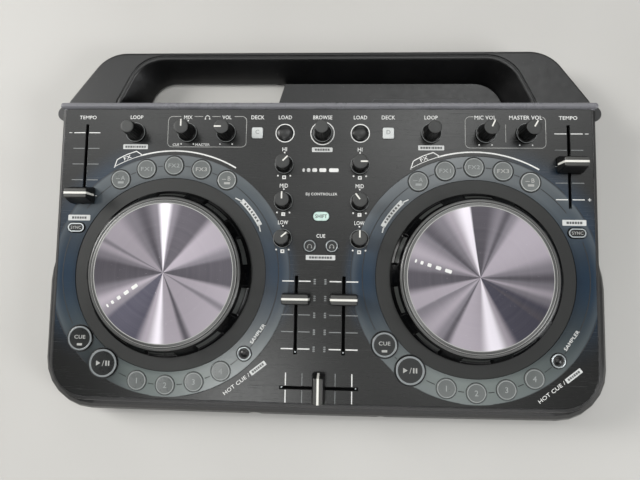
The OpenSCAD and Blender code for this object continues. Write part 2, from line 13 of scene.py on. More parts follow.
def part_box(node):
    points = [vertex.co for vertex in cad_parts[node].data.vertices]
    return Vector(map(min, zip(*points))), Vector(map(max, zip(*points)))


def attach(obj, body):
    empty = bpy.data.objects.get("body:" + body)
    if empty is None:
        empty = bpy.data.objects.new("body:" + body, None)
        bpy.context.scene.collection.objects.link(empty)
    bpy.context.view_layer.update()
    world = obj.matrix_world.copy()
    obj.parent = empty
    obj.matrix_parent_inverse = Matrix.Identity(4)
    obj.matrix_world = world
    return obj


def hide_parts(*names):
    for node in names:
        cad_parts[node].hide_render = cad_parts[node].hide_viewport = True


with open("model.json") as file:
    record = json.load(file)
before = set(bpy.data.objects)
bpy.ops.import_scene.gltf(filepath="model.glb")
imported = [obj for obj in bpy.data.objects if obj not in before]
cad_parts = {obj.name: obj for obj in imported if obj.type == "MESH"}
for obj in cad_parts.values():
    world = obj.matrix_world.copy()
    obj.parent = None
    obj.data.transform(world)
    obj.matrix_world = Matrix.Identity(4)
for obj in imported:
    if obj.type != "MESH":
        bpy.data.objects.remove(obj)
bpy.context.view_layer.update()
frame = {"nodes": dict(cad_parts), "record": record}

MM = 0.001
SIDES = ((-1, "left"), (1, "right"))
SLOT = {part["node"]: part["material_slot"] for part in frame["record"]["subparts"]}
BODY = {node: body for body, nodes in frame["record"]["behaviour"]["bodies"].items()
        for node in nodes}
MATERIALS = {}


# ------------------------------------------------------------------ dimensions from the CAD
def centre(node):
    low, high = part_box(node)
    return (low + high) / 2 * 1000


def heights(node):
    low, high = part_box(node)
    return low.z * 1000, high.z * 1000


def half_width(node):
    low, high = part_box(node)
    return (high.x - low.x) * 500


SHEET_Z = heights("top_panel")[1]                    # top sheet surface
FLANGE_Z = SHEET_Z - 3.2                             # recessed level of the key flanges
JOG_AXIS = {side: centre("jog_plate_" + side) for _, side in SIDES}
DISC_R = half_width("jog_plate_left")
JOG_R = half_width("jog_ring_left")
DISC_TOP = heights("jog_plate_left")[1]
KEY_CIRCLE_R = math.hypot(centre("pad_2_left").x - JOG_AXIS["left"].x,
                          centre("pad_2_left").y - JOG_AXIS["left"].y)
RING_IN, RING_OUT = 66.0, KEY_CIRCLE_R + 7.7         # tinted ring printed round each jog
ROW_Y = centre("browse_knob").y                      # rear row of knobs


# ------------------------------------------------------------------ mesh helpers
def make(name, verts, faces, material_names, angle=35, smooth=True):
    mesh = bpy.data.meshes.new(name)
    mesh.from_pydata([tuple(c * MM for c in v) for v in verts], [], faces)
    bm = bmesh.new()
    bm.from_mesh(mesh)
    bmesh.ops.remove_doubles(bm, verts=bm.verts, dist=1e-7)
    bmesh.ops.recalc_face_normals(bm, faces=bm.faces)
    bm.to_mesh(mesh)
    bm.free()
    if smooth:
        mesh.polygons.foreach_set("use_smooth", [True] * len(mesh.polygons))
        mesh.set_sharp_from_angle(angle=math.radians(angle))
    mesh.update()
    ob = bpy.data.objects.new(name, mesh)
    bpy.context.scene.collection.objects.link(ob)
    if smooth:
        normals = ob.modifiers.new("flat_faces", "WEIGHTED_NORMAL")
        normals.mode = "FACE_AREA"
        normals.keep_sharp = True
        normals.weight = 80
    if isinstance(material_names, str):
        material_names = [material_names]
    for material_name in material_names:
        mesh.materials.append(MATERIALS[material_name])
    return ob


def put(ob, node=None, replaces=False):
    """Fix a piece to the body of a CAD node, or to the chassis if no node is given."""
    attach(ob, BODY[node] if node else "chassis")
    if replaces:
        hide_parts(node)


def paint(ob, x, y, pick):
    """Set each face's material slot with pick(x and y from the axis, height)."""
    for face in ob.data.polygons:
        face_x, face_y, face_z = (value * 1000 for value in face.center)
        face.material_index = int(pick(face_x - x, face_y - y, face_z))


def turned_rings(profile, x, y, seg, radius_at=None):
    """Vertices of a turned shape and, for each (radius, z) of the profile, their indices."""
    verts, rings = [], []
    for radius, z in profile:
        first = len(verts)
        if radius < 1e-6:
            verts.append((x, y, z))
        else:
            for i in range(seg):
                angle = 2 * math.pi * i / seg
                r = radius_at(radius, z, angle) if radius_at else radius
                verts.append((x + r * math.cos(angle), y + r * math.sin(angle), z))
        rings.append(range(first, len(verts)))
    return verts, rings


def face_between(ring, following, i, seg):
    j = (i + 1) % seg
    if len(ring) == 1:
        return ring[0], following[j], following[i]
    if len(following) == 1:
        return ring[i], ring[j], following[0]
    return ring[i], ring[j], following[j], following[i]


def lathe(name, profile, x, y, material_names, seg=96, radius_at=None, angle=35):
    """Turned solid. The profile runs from axis to axis, or is a closed loop off the axis."""
    verts, rings = turned_rings(profile, x, y, seg, radius_at)
    pairs = list(zip(rings, rings[1:]))
    if len(rings[0]) > 1:
        pairs.append((rings[-1], rings[0]))
    faces = [face_between(ring, following, i, seg)
             for ring, following in pairs for i in range(seg)]
    return make(name, verts, faces, material_names, angle)


def loft(outlines):
    """Solid through (points, z) outlines of equal point count, from the bottom up."""
    n = len(outlines[0][0])
    verts = [(x, y, z) for points, z in outlines for x, y in points]
    last = len(verts) - n
    faces = [(a + i, a + (i + 1) % n, a + n + (i + 1) % n, a + n + i)
             for a in range(0, last, n) for i in range(n)]
    faces += [tuple(range(n))[::-1], tuple(range(last, last + n))]
    return verts, faces


def ribbon(name, outer, inner, node):
    """White raised line. outer and inner list its two edges in pairs along the path."""
    n = len(outer)
    faces = []
    for a in range(0, n - 2, 2):
        b = a + 2
        faces += [(a, a + 1, b + 1, b), (n + a, n + b, n + b + 1, n + a + 1),
                  (a, b, n + b, n + a), (a + 1, n + a + 1, n + b + 1, b + 1)]
    faces += [(0, n, n + 1, 1), (n - 2, n - 1, 2 * n - 1, 2 * n - 2)]
    put(make(name, outer + inner, faces, "line_white", 30), node)


# outlines, as lists of (x, y)
def polar(x, y, radius, degrees):
    """Point at an angle clockwise from +Y."""
    angle = math.radians(degrees)
    return x + radius * math.sin(angle), y + radius * math.cos(angle)


def circle(x, y, radius, steps):
    return [(x + radius * math.cos(2 * math.pi * i / steps),
             y + radius * math.sin(2 * math.pi * i / steps)) for i in range(steps)]


def shift(points, x, y):
    return [(x + px, y + py) for px, py in points]


def rounded_rect(length, width, corner):
    points = []
    for i, (sx, sy) in enumerate(((1, 1), (-1, 1), (-1, -1), (1, -1))):
        if corner <= 0:
            points.append((sx * length / 2, sy * width / 2))
            continue
        for k in range(6):
            angle = math.radians(90 * i + 18 * k)
            points.append((sx * (length / 2 - corner) + corner * math.cos(angle),
                           sy * (width / 2 - corner) + corner * math.sin(angle)))
    return points


def pill(length, width):
    r = width / 2
    points = []
    for end, start in ((1, -90), (-1, 90)):
        for i in range(19):
            angle = math.radians(start + 10 * i)
            points.append((end * (length / 2 - r) + r * math.cos(angle), r * math.sin(angle)))
    return points


class Marks:
    """Collects thin closed prisms, such as printed marks, between two heights in one mesh."""

    def __init__(self, bottom, top):
        self.bottom, self.top = bottom, top
        self.verts, self.faces = [], []

    def add(self, verts, faces):
        first = len(self.verts)
        self.verts += verts
        self.faces += [tuple(i + first for i in face) for face in faces]

    def prism(self, points):
        n = len(points)
        verts = [(x, y, z) for z in (self.bottom, self.top) for x, y in points]
        faces = [tuple(range(n - 1, -1, -1)), tuple(range(n, 2 * n))]
        faces += [(i, (i + 1) % n, n + (i + 1) % n, n + i) for i in range(n)]
        self.add(verts, faces)

    def rect(self, x, y, length, width, turn=0, corner=0):
        cos, sin = math.cos(math.radians(turn)), math.sin(math.radians(turn))
        corner = min(corner, length / 2 - 1e-3, width / 2 - 1e-3)
        self.prism([(x + px * cos - py * sin, y + px * sin + py * cos)
                    for px, py in rounded_rect(length, width, corner)])

    def disc(self, x, y, radius):
        self.prism(circle(x, y, radius, 24))

    def strip(self, edge, other_edge, closed=False):
        n = len(edge)
        verts = [(x, y, z) for z in (self.bottom, self.top)
                 for points in (edge, other_edge) for x, y in points]
        faces = []
        for i in range(n if closed else n - 1):
            j = (i + 1) % n
            faces += [(i, j, n + j, n + i), (2 * n + i, 3 * n + i, 3 * n + j, 2 * n + j),
                      (i, 2 * n + i, 2 * n + j, j), (n + i, n + j, 3 * n + j, 3 * n + i)]
        if not closed:
            faces += [(0, n, 3 * n, 2 * n), (n - 1, 3 * n - 1, 4 * n - 1, 2 * n - 1)]
        self.add(verts, faces)

    def arc(self, x, y, inner, outer, start, end, steps):
        """Annular sector; angles in degrees clockwise from +Y."""
        angles = [start + (end - start) * i / steps for i in range(steps + 1)]
        self.strip([polar(x, y, outer, a) for a in angles],
                   [polar(x, y, inner, a) for a in angles])

    def ring(self, x, y, inner, outer, steps=96):
        self.strip(circle(x, y, outer, steps), circle(x, y, inner, steps), closed=True)

    def line(self, points, width):
        """Open polyline with mitred corners."""
        spots = [Vector(point) for point in points]
        left, right = [], []
        for i, spot in enumerate(spots):
            before = (spot - spots[i - 1] if i else spots[1] - spots[0]).normalized()
            after = (spots[i + 1] - spot).normalized() if i < len(spots) - 1 else before
            normal, next_normal = Vector((-before.y, before.x)), Vector((-after.y, after.x))
            mitre = (normal + next_normal) / max(0.3, 1 + normal.dot(next_normal))
            left.append(spot + mitre * width / 2)
            right.append(spot - mitre * width / 2)
        self.strip(left, right)

    def inner_band(self, points, width):
        """Closed band just inside an anticlockwise outline."""
        outer = [Vector(point) for point in points]
        inner = []
        for i, spot in enumerate(outer):
            along = (outer[(i + 1) % len(outer)] - outer[i - 1]).normalized()
            inner.append(spot + Vector((-along.y, along.x)) * width)
        self.strip(outer, inner, closed=True)

    def text(self, words, x, y, height, width=None, turn=0, bold=0.10):
        curve = bpy.data.curves.new("t", "FONT")
        curve.body = words
        curve.size = 10
        curve.resolution_u = 3
        curve.extrude = 0.5
        curve.offset = bold
        curve.space_character = 1.05
        ob = bpy.data.objects.new("t", curve)
        bpy.context.scene.collection.objects.link(ob)
        depsgraph = bpy.context.evaluated_depsgraph_get()
        depsgraph.update()
        evaluated = ob.evaluated_get(depsgraph)
        bm = bmesh.new()
        bm.from_mesh(evaluated.to_mesh())
        bmesh.ops.remove_doubles(bm, verts=bm.verts, dist=1e-5)
        spots = [v.co.copy() for v in bm.verts]
        faces = [tuple(v.index for v in f.verts) for f in bm.faces]
        bm.free()
        evaluated.to_mesh_clear()
        bpy.data.objects.remove(ob)
        bpy.data.curves.remove(curve)
        x0, x1 = min(s.x for s in spots), max(s.x for s in spots)
        y0, y1 = min(s.y for s in spots), max(s.y for s in spots)
        scale_y = height / (y1 - y0)
        scale_x = scale_y if width is None else width / (x1 - x0)
        cos, sin = math.cos(math.radians(turn)), math.sin(math.radians(turn))
        verts = []
        for spot in spots:
            px, py = (spot.x - (x0 + x1) / 2) * scale_x, (spot.y - (y0 + y1) / 2) * scale_y
            verts.append((x + px * cos - py * sin, y + px * sin + py * cos,
                          self.bottom if spot.z < 0 else self.top))
        self.add(verts, faces)

    def done(self, name, material_name, node=None, smooth=False, replaces=False):
        put(make(name, self.verts, self.faces, material_name, smooth=smooth), node, replaces)


# ------------------------------------------------------------------ shader helpers
class Tree:
    """Short calls for building node trees. Inputs may be sockets, numbers or RGB tuples."""

    def __init__(self, node_tree):
        self.nodes, self.links = node_tree.nodes, node_tree.links

    def node(self, kind, **settings):
        node = self.nodes.new("ShaderNode" + kind)
        for name, value in settings.items():
            setattr(node, name, value)
        return node

    def feed(self, socket, value):
        if isinstance(value, bpy.types.NodeSocket):
            self.links.new(value, socket)
        else:
            socket.default_value = (*value, 1) if isinstance(value, tuple) else value

    def shade(self, **inputs):
        """Set inputs of the principled shader; underscores stand for spaces."""
        for name, value in inputs.items():
            self.feed(self.principled.inputs[name.replace("_", " ")], value)

    def place(self):
        return self.node("TexCoord").outputs["Object"]

    def split(self, vector):
        node = self.node("SeparateXYZ")
        self.feed(node.inputs[0], vector)
        return node.outputs

    def noise(self, vector, scale, detail=4, rough=0.55):
        node = self.node("TexNoise")
        node.inputs["Scale"].default_value = scale
        node.inputs["Detail"].default_value = detail
        node.inputs["Roughness"].default_value = rough
        self.feed(node.inputs["Vector"], vector)
        return node.outputs["Fac"]

    def math(self, operation, *values):
        node = self.node("Math", operation=operation)
        for i, value in enumerate(values):
            self.feed(node.inputs[i], value)
        return node.outputs[0]

    def add(self, a, b):
        return self.math("ADD", a, b)

    def sub(self, a, b):
        return self.math("SUBTRACT", a, b)

    def mul(self, a, b):
        return self.math("MULTIPLY", a, b)

    def ramp(self, value, low, high, start=0, end=1, smooth=False):
        """Map low..high to start..end, clamped."""
        node = self.node("MapRange")
        node.interpolation_type = "SMOOTHSTEP" if smooth else "LINEAR"
        for i, item in enumerate((value, low, high, start, end)):
            self.feed(node.inputs[i], item)
        return node.outputs[0]

    def mix(self, factor, a, b):
        node = self.node("Mix", data_type="RGBA")
        for i, value in ((0, factor), (6, a), (7, b)):
            self.feed(node.inputs[i], value)
        return node.outputs[2]

    def bevel(self, radius, samples):
        node = self.node("Bevel", samples=samples)
        node.inputs["Radius"].default_value = radius * MM
        return node.outputs[0]

    def bump(self, height, strength, distance, normal=None):
        """Bump with its distance in metres."""
        node = self.node("Bump")
        node.inputs["Strength"].default_value = strength
        node.inputs["Distance"].default_value = distance
        self.feed(node.inputs["Height"], height)
        if normal is not None:
            self.feed(node.inputs["Normal"], normal)
        return node.outputs[0]


def new_material(name):
    material = bpy.data.materials.new(name)
    material.use_nodes = True
    material.node_tree.nodes.clear()
    tree = Tree(material.node_tree)
    output = tree.node("OutputMaterial")
    tree.principled = tree.node("BsdfPrincipled")
    tree.feed(output.inputs[0], tree.principled.outputs[0])
    MATERIALS[name] = material
    return tree


def tone(colour, factor, lift=0):
    return tuple(min(1, part * factor + lift) for part in colour)


def plastic(name, colour, rough, var=0.25, grain=0.15, grain_scale=2600, wear=0.0, coat=0.0,
            spec=0.5, round_mm=0.0, dust=0.0, metallic=0.0, tint=None):
    """Moulded or painted part: fine grain, blotchy tone and roughness, optional edge wear
    (which needs round_mm), dust specks and a tint function for local changes."""
    tree = new_material(name)
    place = tree.place()
    broad = tree.noise(place, scale=22, detail=5)
    middle = tree.noise(place, scale=240)
    fine = tree.noise(place, scale=grain_scale, detail=2)
    base = tree.mix(tree.ramp(broad, 0.3, 0.7), tone(colour, 1 - var), tone(colour, 1 + var))
    blotches = tree.mul(tree.ramp(middle, 0.45, 0.75), 0.12)
    base = tree.mix(blotches, base, tone(colour, 1.4, lift=0.002))
    normal = tree.bevel(round_mm, samples=6) if round_mm else None
    if wear:
        # the bevelled normal leaves the true one only near edges
        geometry = tree.node("NewGeometry")
        dot = tree.node("VectorMath", operation="DOT_PRODUCT")
        tree.feed(dot.inputs[0], normal)
        tree.feed(dot.inputs[1], geometry.outputs["Normal"])
        edge = tree.ramp(dot.outputs["Value"], 0.995, 0.93)
        edge = tree.mul(edge, tree.ramp(middle, 0.4, 0.65, 0.2, 1))
        base = tree.mix(tree.mul(edge, wear), base, (0.16, 0.16, 0.16))
    if dust:
        specks = tree.ramp(tree.noise(place, scale=900, detail=2, rough=0.8), 0.69, 0.76, 0, dust)
        base = tree.mix(specks, base, (0.55, 0.54, 0.5))
    roughness = tree.ramp(middle, 0.25, 0.75, rough - 0.04, rough + 0.05)
    roughness = tree.add(roughness, tree.ramp(broad, 0.3, 0.7, -0.03, 0.03))
    if tint:
        base, roughness = tint(tree, place, base, roughness)
    tree.shade(Base_Color=base, Roughness=roughness, Metallic=metallic, Specular_IOR_Level=spec,
               Coat_Weight=coat * 0.6, Coat_Roughness=0.12,
               Normal=tree.bump(fine, grain, 0.00005, normal))


def ink(name, colour):
    tree = new_material(name)
    place = tree.place()
    blotches = tree.noise(place, scale=700, detail=3)
    fine = tree.noise(place, scale=2200, detail=2)
    tree.shade(Base_Color=tree.mix(tree.ramp(blotches, 0.3, 0.75), tone(colour, 0.86), colour),
               Roughness=tree.ramp(fine, 0.3, 0.7, 0.42, 0.6),
               Normal=tree.bump(blotches, strength=0.08, distance=0.00002))


def metal(name, colour, rough, var=0.12, scale=600):
    tree = new_material(name)
    place = tree.place()
    blotches = tree.noise(place, scale)
    fine = tree.noise(place, scale * 3, detail=3)
    base = tree.mix(tree.ramp(blotches, 0.3, 0.7), tone(colour, 1 - var), tone(colour, 1 + var))
    tree.shade(Base_Color=base, Metallic=1,
               Roughness=tree.ramp(fine, 0.3, 0.7, rough - 0.06, rough + 0.1),
               Normal=tree.bump(blotches, strength=0.1, distance=0.00003))


def jog_offset(tree, position, side):
    """x, y and distance, in millimetres, of a position (metres) from a jog axis."""
    axis = JOG_AXIS[side]
    parts = tree.split(position)
    x = tree.sub(tree.mul(parts[0], 1000.0), axis.x)
    y = tree.sub(tree.mul(parts[1], 1000.0), axis.y)
    return x, y, tree.math("SQRT", tree.add(tree.mul(x, x), tree.mul(y, y)))


# linear colours of the top sheet and of the ring round each jog
SHEET_DARK, SHEET_PALE = (0.0035, 0.0037, 0.0035), (0.0062, 0.0064, 0.006)
RING_SIDE_DARK, RING_SIDE_PALE = (0.008, 0.020, 0.038), (0.014, 0.034, 0.062)
RING_REAR, RING_FRONT = (0.100, 0.112, 0.118), (0.135, 0.158, 0.150)


def tint_deck(tree, place, base, rough, sign, side):
    """Blue-grey ring round one jog and the glow that spreads beyond it."""
    x, y, r = jog_offset(tree, tree.place(), side)
    angle = tree.math("ARCTAN2", x, y)
    inside = tree.mul(tree.ramp(r, RING_IN - 2.25, RING_IN - 1.75, smooth=True),
                      tree.ramp(r, RING_OUT - 0.25, RING_OUT + 0.25, 1, 0, smooth=True))
    inside = tree.mul(inside, 1.0)
    rearward = tree.math("COSINE", angle)
    toward_ends = tree.math("POWER", tree.math("ABSOLUTE", rearward), 1.6)
    blue = tree.mix(tree.ramp(tree.noise(place, scale=26, detail=3), 0.3, 0.7),
                    RING_SIDE_DARK, RING_SIDE_PALE)
    ends = tree.mix(tree.ramp(rearward, -1, 1), RING_FRONT, RING_REAR)
    blue = tree.mix(tree.ramp(y, -62, 8, 0.62, 0, smooth=True), blue, (0.003, 0.005, 0.008))
    ring = tree.mix(toward_ends, blue, ends)
    # a little lighter towards the outer rim, darker towards the inner one
    outer = tree.mul(tree.ramp(r, KEY_CIRCLE_R + 1, RING_OUT, smooth=True), 0.35)
    ring = tree.mix(outer, ring, tone(RING_REAR, 1.35))
    inner = tree.mul(tree.ramp(r, RING_IN, KEY_CIRCLE_R - 5, 1, 0, smooth=True), 0.3)
    ring = tree.mix(inner, ring, tone(RING_SIDE_DARK, 0.5))
    if side == "left":
        # painted shade: the front left part of the left ring is darkened
        dim = tree.mul(tree.ramp(x, -52, -16, 1, 0, smooth=True),
                       tree.ramp(y, -66, -30, 1, 0, smooth=True))
        ring = tree.mix(tree.mul(dim, 0.88), ring, (0.006, 0.008, 0.011))
    base = tree.mix(tree.mul(inside, 0.95), base, ring)
    # glow on the side away from the mixer
    outward = tree.ramp(tree.mul(x, sign), 8, 52, smooth=True)
    haze = tree.mul(outward, tree.ramp(y, -64, -26, smooth=True))
    haze = tree.mul(haze, tree.ramp(r, RING_OUT - 1, 99, 1, 0, smooth=True))
    haze = tree.mul(haze, tree.ramp(r, RING_OUT - 1.2, RING_OUT))
    base = tree.mix(tree.mul(haze, 0.8), base, blue)
    # smaller glow on the mixer side
    off_middle = tree.math("ABSOLUTE", tree.sub(y, -2.0))
    haze = tree.mul(tree.ramp(tree.mul(x, -sign), 30, 66, smooth=True),
                    tree.ramp(off_middle, 16, 44, 1, 0, smooth=True))
    fade = tree.mul(tree.ramp(r, RING_OUT - 1, 90, 1, 0, smooth=True),
                    tree.ramp(r, RING_OUT - 1.2, RING_OUT))
    base = tree.mix(tree.mul(tree.mul(haze, fade), 0.7), base, blue)
    return base, tree.sub(rough, tree.mul(inside, 0.1))


def panel_film(name):
    """Film of the top sheet with the tinted rings, fine scratches and specks."""
    tree = new_material(name)
    place = tree.place()
    broad = tree.noise(place, scale=7, detail=3)
    blotches = tree.noise(place, scale=55, detail=5)
    middle = tree.noise(place, scale=320)
    fine = tree.noise(place, scale=3600, detail=2)
    base = tree.mix(tree.ramp(broad, 0.3, 0.7), SHEET_DARK, SHEET_PALE)
    base = tree.mix(tree.mul(tree.ramp(blotches, 0.45, 0.72), 0.28), base, tone(SHEET_PALE, 1.35))
    rough = tree.ramp(middle, 0.3, 0.7, 0.25, 0.275)
    for sign, side in SIDES:
        base, rough = tint_deck(tree, place, base, rough, sign, side)
    stretch = tree.node("Mapping")
    stretch.inputs["Rotation"].default_value = (0, 0, 0.6)
    stretch.inputs["Scale"].default_value = (1, 34, 1)
    tree.feed(stretch.inputs[0], place)
    scratches = tree.noise(stretch.outputs[0], scale=60, detail=6, rough=0.5)
    base = tree.mix(tree.ramp(scratches, 0.67, 0.74, 0, 0.05), base, (0.32, 0.33, 0.34))
    specks = tree.ramp(tree.noise(place, scale=750, detail=2, rough=0.8), 0.73, 0.78, 0, 0.25)
    base = tree.mix(specks, base, (0.42, 0.42, 0.4))
    normal = tree.bump(fine, 0.05, 0.00002, tree.bevel(0.25, samples=4))
    tree.shade(Base_Color=base,
               Roughness=tree.add(rough, tree.ramp(scratches, 0.6, 0.75, 0, 0.1)),
               Specular_IOR_Level=0.5, Coat_Weight=0.0, Coat_Roughness=0.25,
               Normal=tree.bump(middle, 0.02, 0.00004, normal))


# fan of highlights on the discs: (degrees anticlockwise from +X, colour);
# both fans are DARK at 0 and 180 degrees
DARK, MID, PALE, PEAK = ((0.085, 0.078, 0.092), (0.19, 0.175, 0.20), (0.36, 0.325, 0.365),
                         (0.85, 0.80, 0.87))
DUSK = (0.065, 0.062, 0.085)
FANS = {
    "left": [
        (11, DARK), (17, MID), (28, PALE), (44, PALE), (54, DARK), (74, DARK), (82, MID),
        (89, PEAK), (92, PEAK), (98, MID), (110, DARK), (122, MID), (136, PALE), (149, PALE),
        (152.5, MID), (156, PALE), (164, MID), (171, DARK), (188, DARK), (196, MID),
        (205, PALE), (216, MID), (222, DUSK), (248, DUSK), (258, PALE), (268, PEAK),
        (275, PALE), (287, PALE), (292.5, DARK), (299, PALE), (326, PALE), (331, MID),
        (336, PALE), (345, PALE), (351, DARK)],
    "right": [
        (8, MID), (22, PALE), (54, PALE), (62, MID), (67, DARK), (73, MID), (84, DARK),
        (97, DARK), (99.2, PEAK), (103, PEAK), (115, PALE), (124, MID), (138, DARK),
        (144, MID), (158, PALE), (170, MID), (177, DARK), (188, DARK), (197, PALE),
        (206, PALE), (209, MID), (226, PALE), (236, MID), (241, DARK), (247, PALE),
        (268, PALE), (279, PEAK), (284, PEAK), (292, PALE), (301, DUSK), (322, DUSK),
        (325, DARK), (333, DUSK), (341, MID), (347, PALE), (353, MID)]}


def half_fan(tree, fan, stops, start, end):
    """Colours of a fan between two angles; a colour ramp is too short for the whole turn."""
    node = tree.node("ValToRGB")
    node.color_ramp.interpolation = "EASE"
    chosen = [(start, DARK)] + [stop for stop in stops if start < stop[0] < end] + [(end, DARK)]
    elements = node.color_ramp.elements
    while len(elements) < len(chosen):
        elements.new(0.5)
    for i, (degrees, _) in enumerate(chosen):
        elements[i].position = (degrees - start) / (end - start)
    for i, (_, colour) in enumerate(chosen):
        elements[i].color = (*colour, 1)
    tree.feed(node.inputs[0], tree.ramp(fan, start / 360.0, end / 360.0))
    return node.outputs[0]


def spun_disc(side):
    """Spun aluminium. The highlights keep their place as the wheel turns, so they are
    worked out in world space."""
    tree = new_material("disc_" + side)
    position = tree.node("NewGeometry").outputs["Position"]
    x, y, r = jog_offset(tree, position, side)
    turn = tree.mul(tree.math("ARCTAN2", y, x), 1 / (2 * math.pi))
    wobble = tree.mul(tree.sub(tree.noise(position, scale=35, detail=2), 0.5), 0.006)
    fan = tree.math("FRACT", tree.add(tree.add(turn, wobble), 1.0))
    colour = tree.mix(tree.math("GREATER_THAN", fan, 0.5),
                      half_fan(tree, fan, FANS[side], 0, 180),
                      half_fan(tree, fan, FANS[side], 180, 360))
    # concentric turning marks
    radial = tree.node("CombineXYZ")
    tree.feed(radial.inputs[0], r)
    grooves = tree.noise(radial.outputs[0], scale=2.6, detail=6, rough=0.75)
    bands = tree.noise(radial.outputs[0], scale=0.35, detail=3, rough=0.6)
    colour = tree.mix(tree.ramp(grooves, 0.3, 0.7, 0, 0.09), colour, (0.05, 0.045, 0.055))
    colour = tree.mix(tree.ramp(bands, 0.35, 0.7, 0, 0.02), colour, (0.9, 0.88, 0.92))
    specks = tree.noise(tree.place(), scale=900, detail=2, rough=0.8)
    colour = tree.mix(tree.ramp(specks, 0.72, 0.78, 0, 0.5), colour, (0.85, 0.82, 0.88))
    # tangent that runs round the axis
    tangent = tree.node("VectorMath", operation="NORMALIZE")
    around = tree.node("CombineXYZ")
    tree.feed(around.inputs[0], tree.mul(y, -1.0))
    tree.feed(around.inputs[1], x)
    tree.feed(tangent.inputs[0], around.outputs[0])
    tree.shade(Base_Color=colour, Metallic=0.82, Anisotropic=0.6, Tangent=tangent.outputs[0],
               Roughness=tree.ramp(grooves, 0.3, 0.7, 0.36, 0.44),
               Normal=tree.bump(grooves, strength=0.12, distance=0.00001))


def upper_tint(tree, place, base, rough):
    """Matt jog surrounds and the bar along the rear edge, whose pale colour is a painted
    highlight, picked out by place.
    """
    parts = tree.split(place)
    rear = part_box("upper_case")[1].y
    # painted highlight: the bar along the rear edge is dark case plastic, given a pale colour in
    # place of the light it reflects
    bar = tree.mul(tree.math("GREATER_THAN", parts[1], rear - 0.0052),
                   tree.math("GREATER_THAN", parts[2], SHEET_Z * MM - 0.0012))
    base = tree.mix(bar, base, (0.17, 0.17, 0.185))
    rough = tree.sub(rough, tree.mul(bar, 0.08))
    for _, side in SIDES:
        r = jog_offset(tree, tree.place(), side)[2]
        surround = tree.math("LESS_THAN", r, RING_IN + 0.3)
        matt = tree.mix(tree.noise(place, scale=1500, detail=2),
                        (0.007, 0.0075, 0.007), (0.012, 0.0125, 0.0115))
        base = tree.mix(surround, base, matt)
        rough = tree.add(rough, tree.mul(surround, 0.07))
    return base, rough


# ------------------------------------------------------------------ materials
plastic("upper_case", (0.008, 0.008, 0.0085), rough=0.36, grain=0.07, wear=0.35, round_mm=0.5,
        dust=0.15, tint=upper_tint)
plastic("case_plastic", (0.0045, 0.0045, 0.005), rough=0.34, grain=0.22, wear=0.35,
        round_mm=0.5, dust=0.25)
plastic("surround", (0.024, 0.025, 0.024), rough=0.55, grain=0.3, grain_scale=3200,
        round_mm=0.3, dust=0.2)
panel_film("panel_film")
plastic("smoked_lens", (0.16, 0.2, 0.26), rough=0.2, coat=0.5)
plastic("handle_plastic", (0.005, 0.005, 0.0053), rough=0.34, grain=0.2, wear=0.3,
        round_mm=0.5, dust=0.12)
plastic("rubber", (0.012, 0.012, 0.012), rough=0.85, grain=0.5, spec=0.25, round_mm=0.3)
metal("screw_steel", (0.45, 0.45, 0.46), rough=0.3)
plastic("circuit_board", (0.012, 0.05, 0.026), rough=0.35, coat=0.4, grain=0.1)
metal("module_metal", (0.4, 0.4, 0.41), rough=0.38)
plastic("switch_plastic", (0.008, 0.008, 0.009), rough=0.5, spec=0.25)
metal("bushing_brass", (0.52, 0.42, 0.22), rough=0.3)
plastic("jack_plastic", (0.018, 0.018, 0.018), rough=0.35, round_mm=0.3)
plastic("jog_gloss_black", (0.001, 0.001, 0.0012), rough=0.2, grain=0.05, spec=0.12, dust=0.08)
# painted reflection: the finger scoops are the same gloss black as the flank, given a lighter
# grey in place of their sheen
plastic("jog_scoop_sheen", (0.036, 0.038, 0.036), rough=0.3, grain=0.1)
plastic("jog_bevel", (0.10, 0.10, 0.098), rough=0.32, grain=0.1, coat=0.2, metallic=0.35)
spun_disc("left")
spun_disc("right")
plastic("cap_black", (0.003, 0.003, 0.003), rough=0.36, grain=0.25, dust=0.1)
plastic("cap_rib", (0.042, 0.042, 0.039), rough=0.45, grain=0.25, dust=0.15)
plastic("knob_black", (0.0015, 0.0015, 0.0015), rough=0.36, grain=0.25, spec=0.22)
plastic("knob_top", (0.034, 0.035, 0.034), rough=0.5, grain=0.35, grain_scale=3000, dust=0.1)
ink("ink_key_b", (0.42, 0.43, 0.42))
plastic("key_smoke", (0.105, 0.114, 0.111), rough=0.3, var=0.14, grain=0.12, coat=0.25)
plastic("button_dark", (0.004, 0.005, 0.005), rough=0.3, grain=0.12, coat=0.1)
plastic("button_gloss", (0.0025, 0.0025, 0.0025), rough=0.34, grain=0.05, coat=0.2)
plastic("button_white", (0.55, 0.57, 0.56), rough=0.45, var=0.08, grain=0.12)
plastic("button_green", (0.58, 0.76, 0.69), rough=0.4, var=0.07, grain=0.12)
ink("ink_white", (0.80, 0.80, 0.78))
ink("ink_soft", (0.40, 0.40, 0.385))
ink("ink_grey", (0.22, 0.23, 0.23))
ink("ink_dark", (0.006, 0.007, 0.008))
ink("ink_tagtext", (0.075, 0.078, 0.078))
plastic("ring_grey", (0.20, 0.215, 0.22), rough=0.34, var=0.12, grain=0.1, coat=0.2)
# painted highlight: pale line standing in for the light caught by the edge of the lip over the
# rear sockets
ink("ink_edge", (0.075, 0.076, 0.078))
ink("ink_tag", (0.62, 0.63, 0.62))
ink("ink_key", (0.31, 0.325, 0.32))
metal("silver", (0.46, 0.49, 0.50), rough=0.38, var=0.1, scale=900)
plastic("line_white", (0.72, 0.71, 0.66), rough=0.35, var=0.08, grain=0.1, coat=0.2)

NODE_MATERIAL = {"upper_case": "upper_case", "fader_modules": "switch_plastic"}
for node, ob in frame["nodes"].items():
    material_name = NODE_MATERIAL.get(node, SLOT.get(node))
    ob.data.materials.clear()
    ob.data.materials.append(MATERIALS.get(material_name, MATERIALS["case_plastic"]))
    for poly in ob.data.polygons:
        poly.material_index = 0


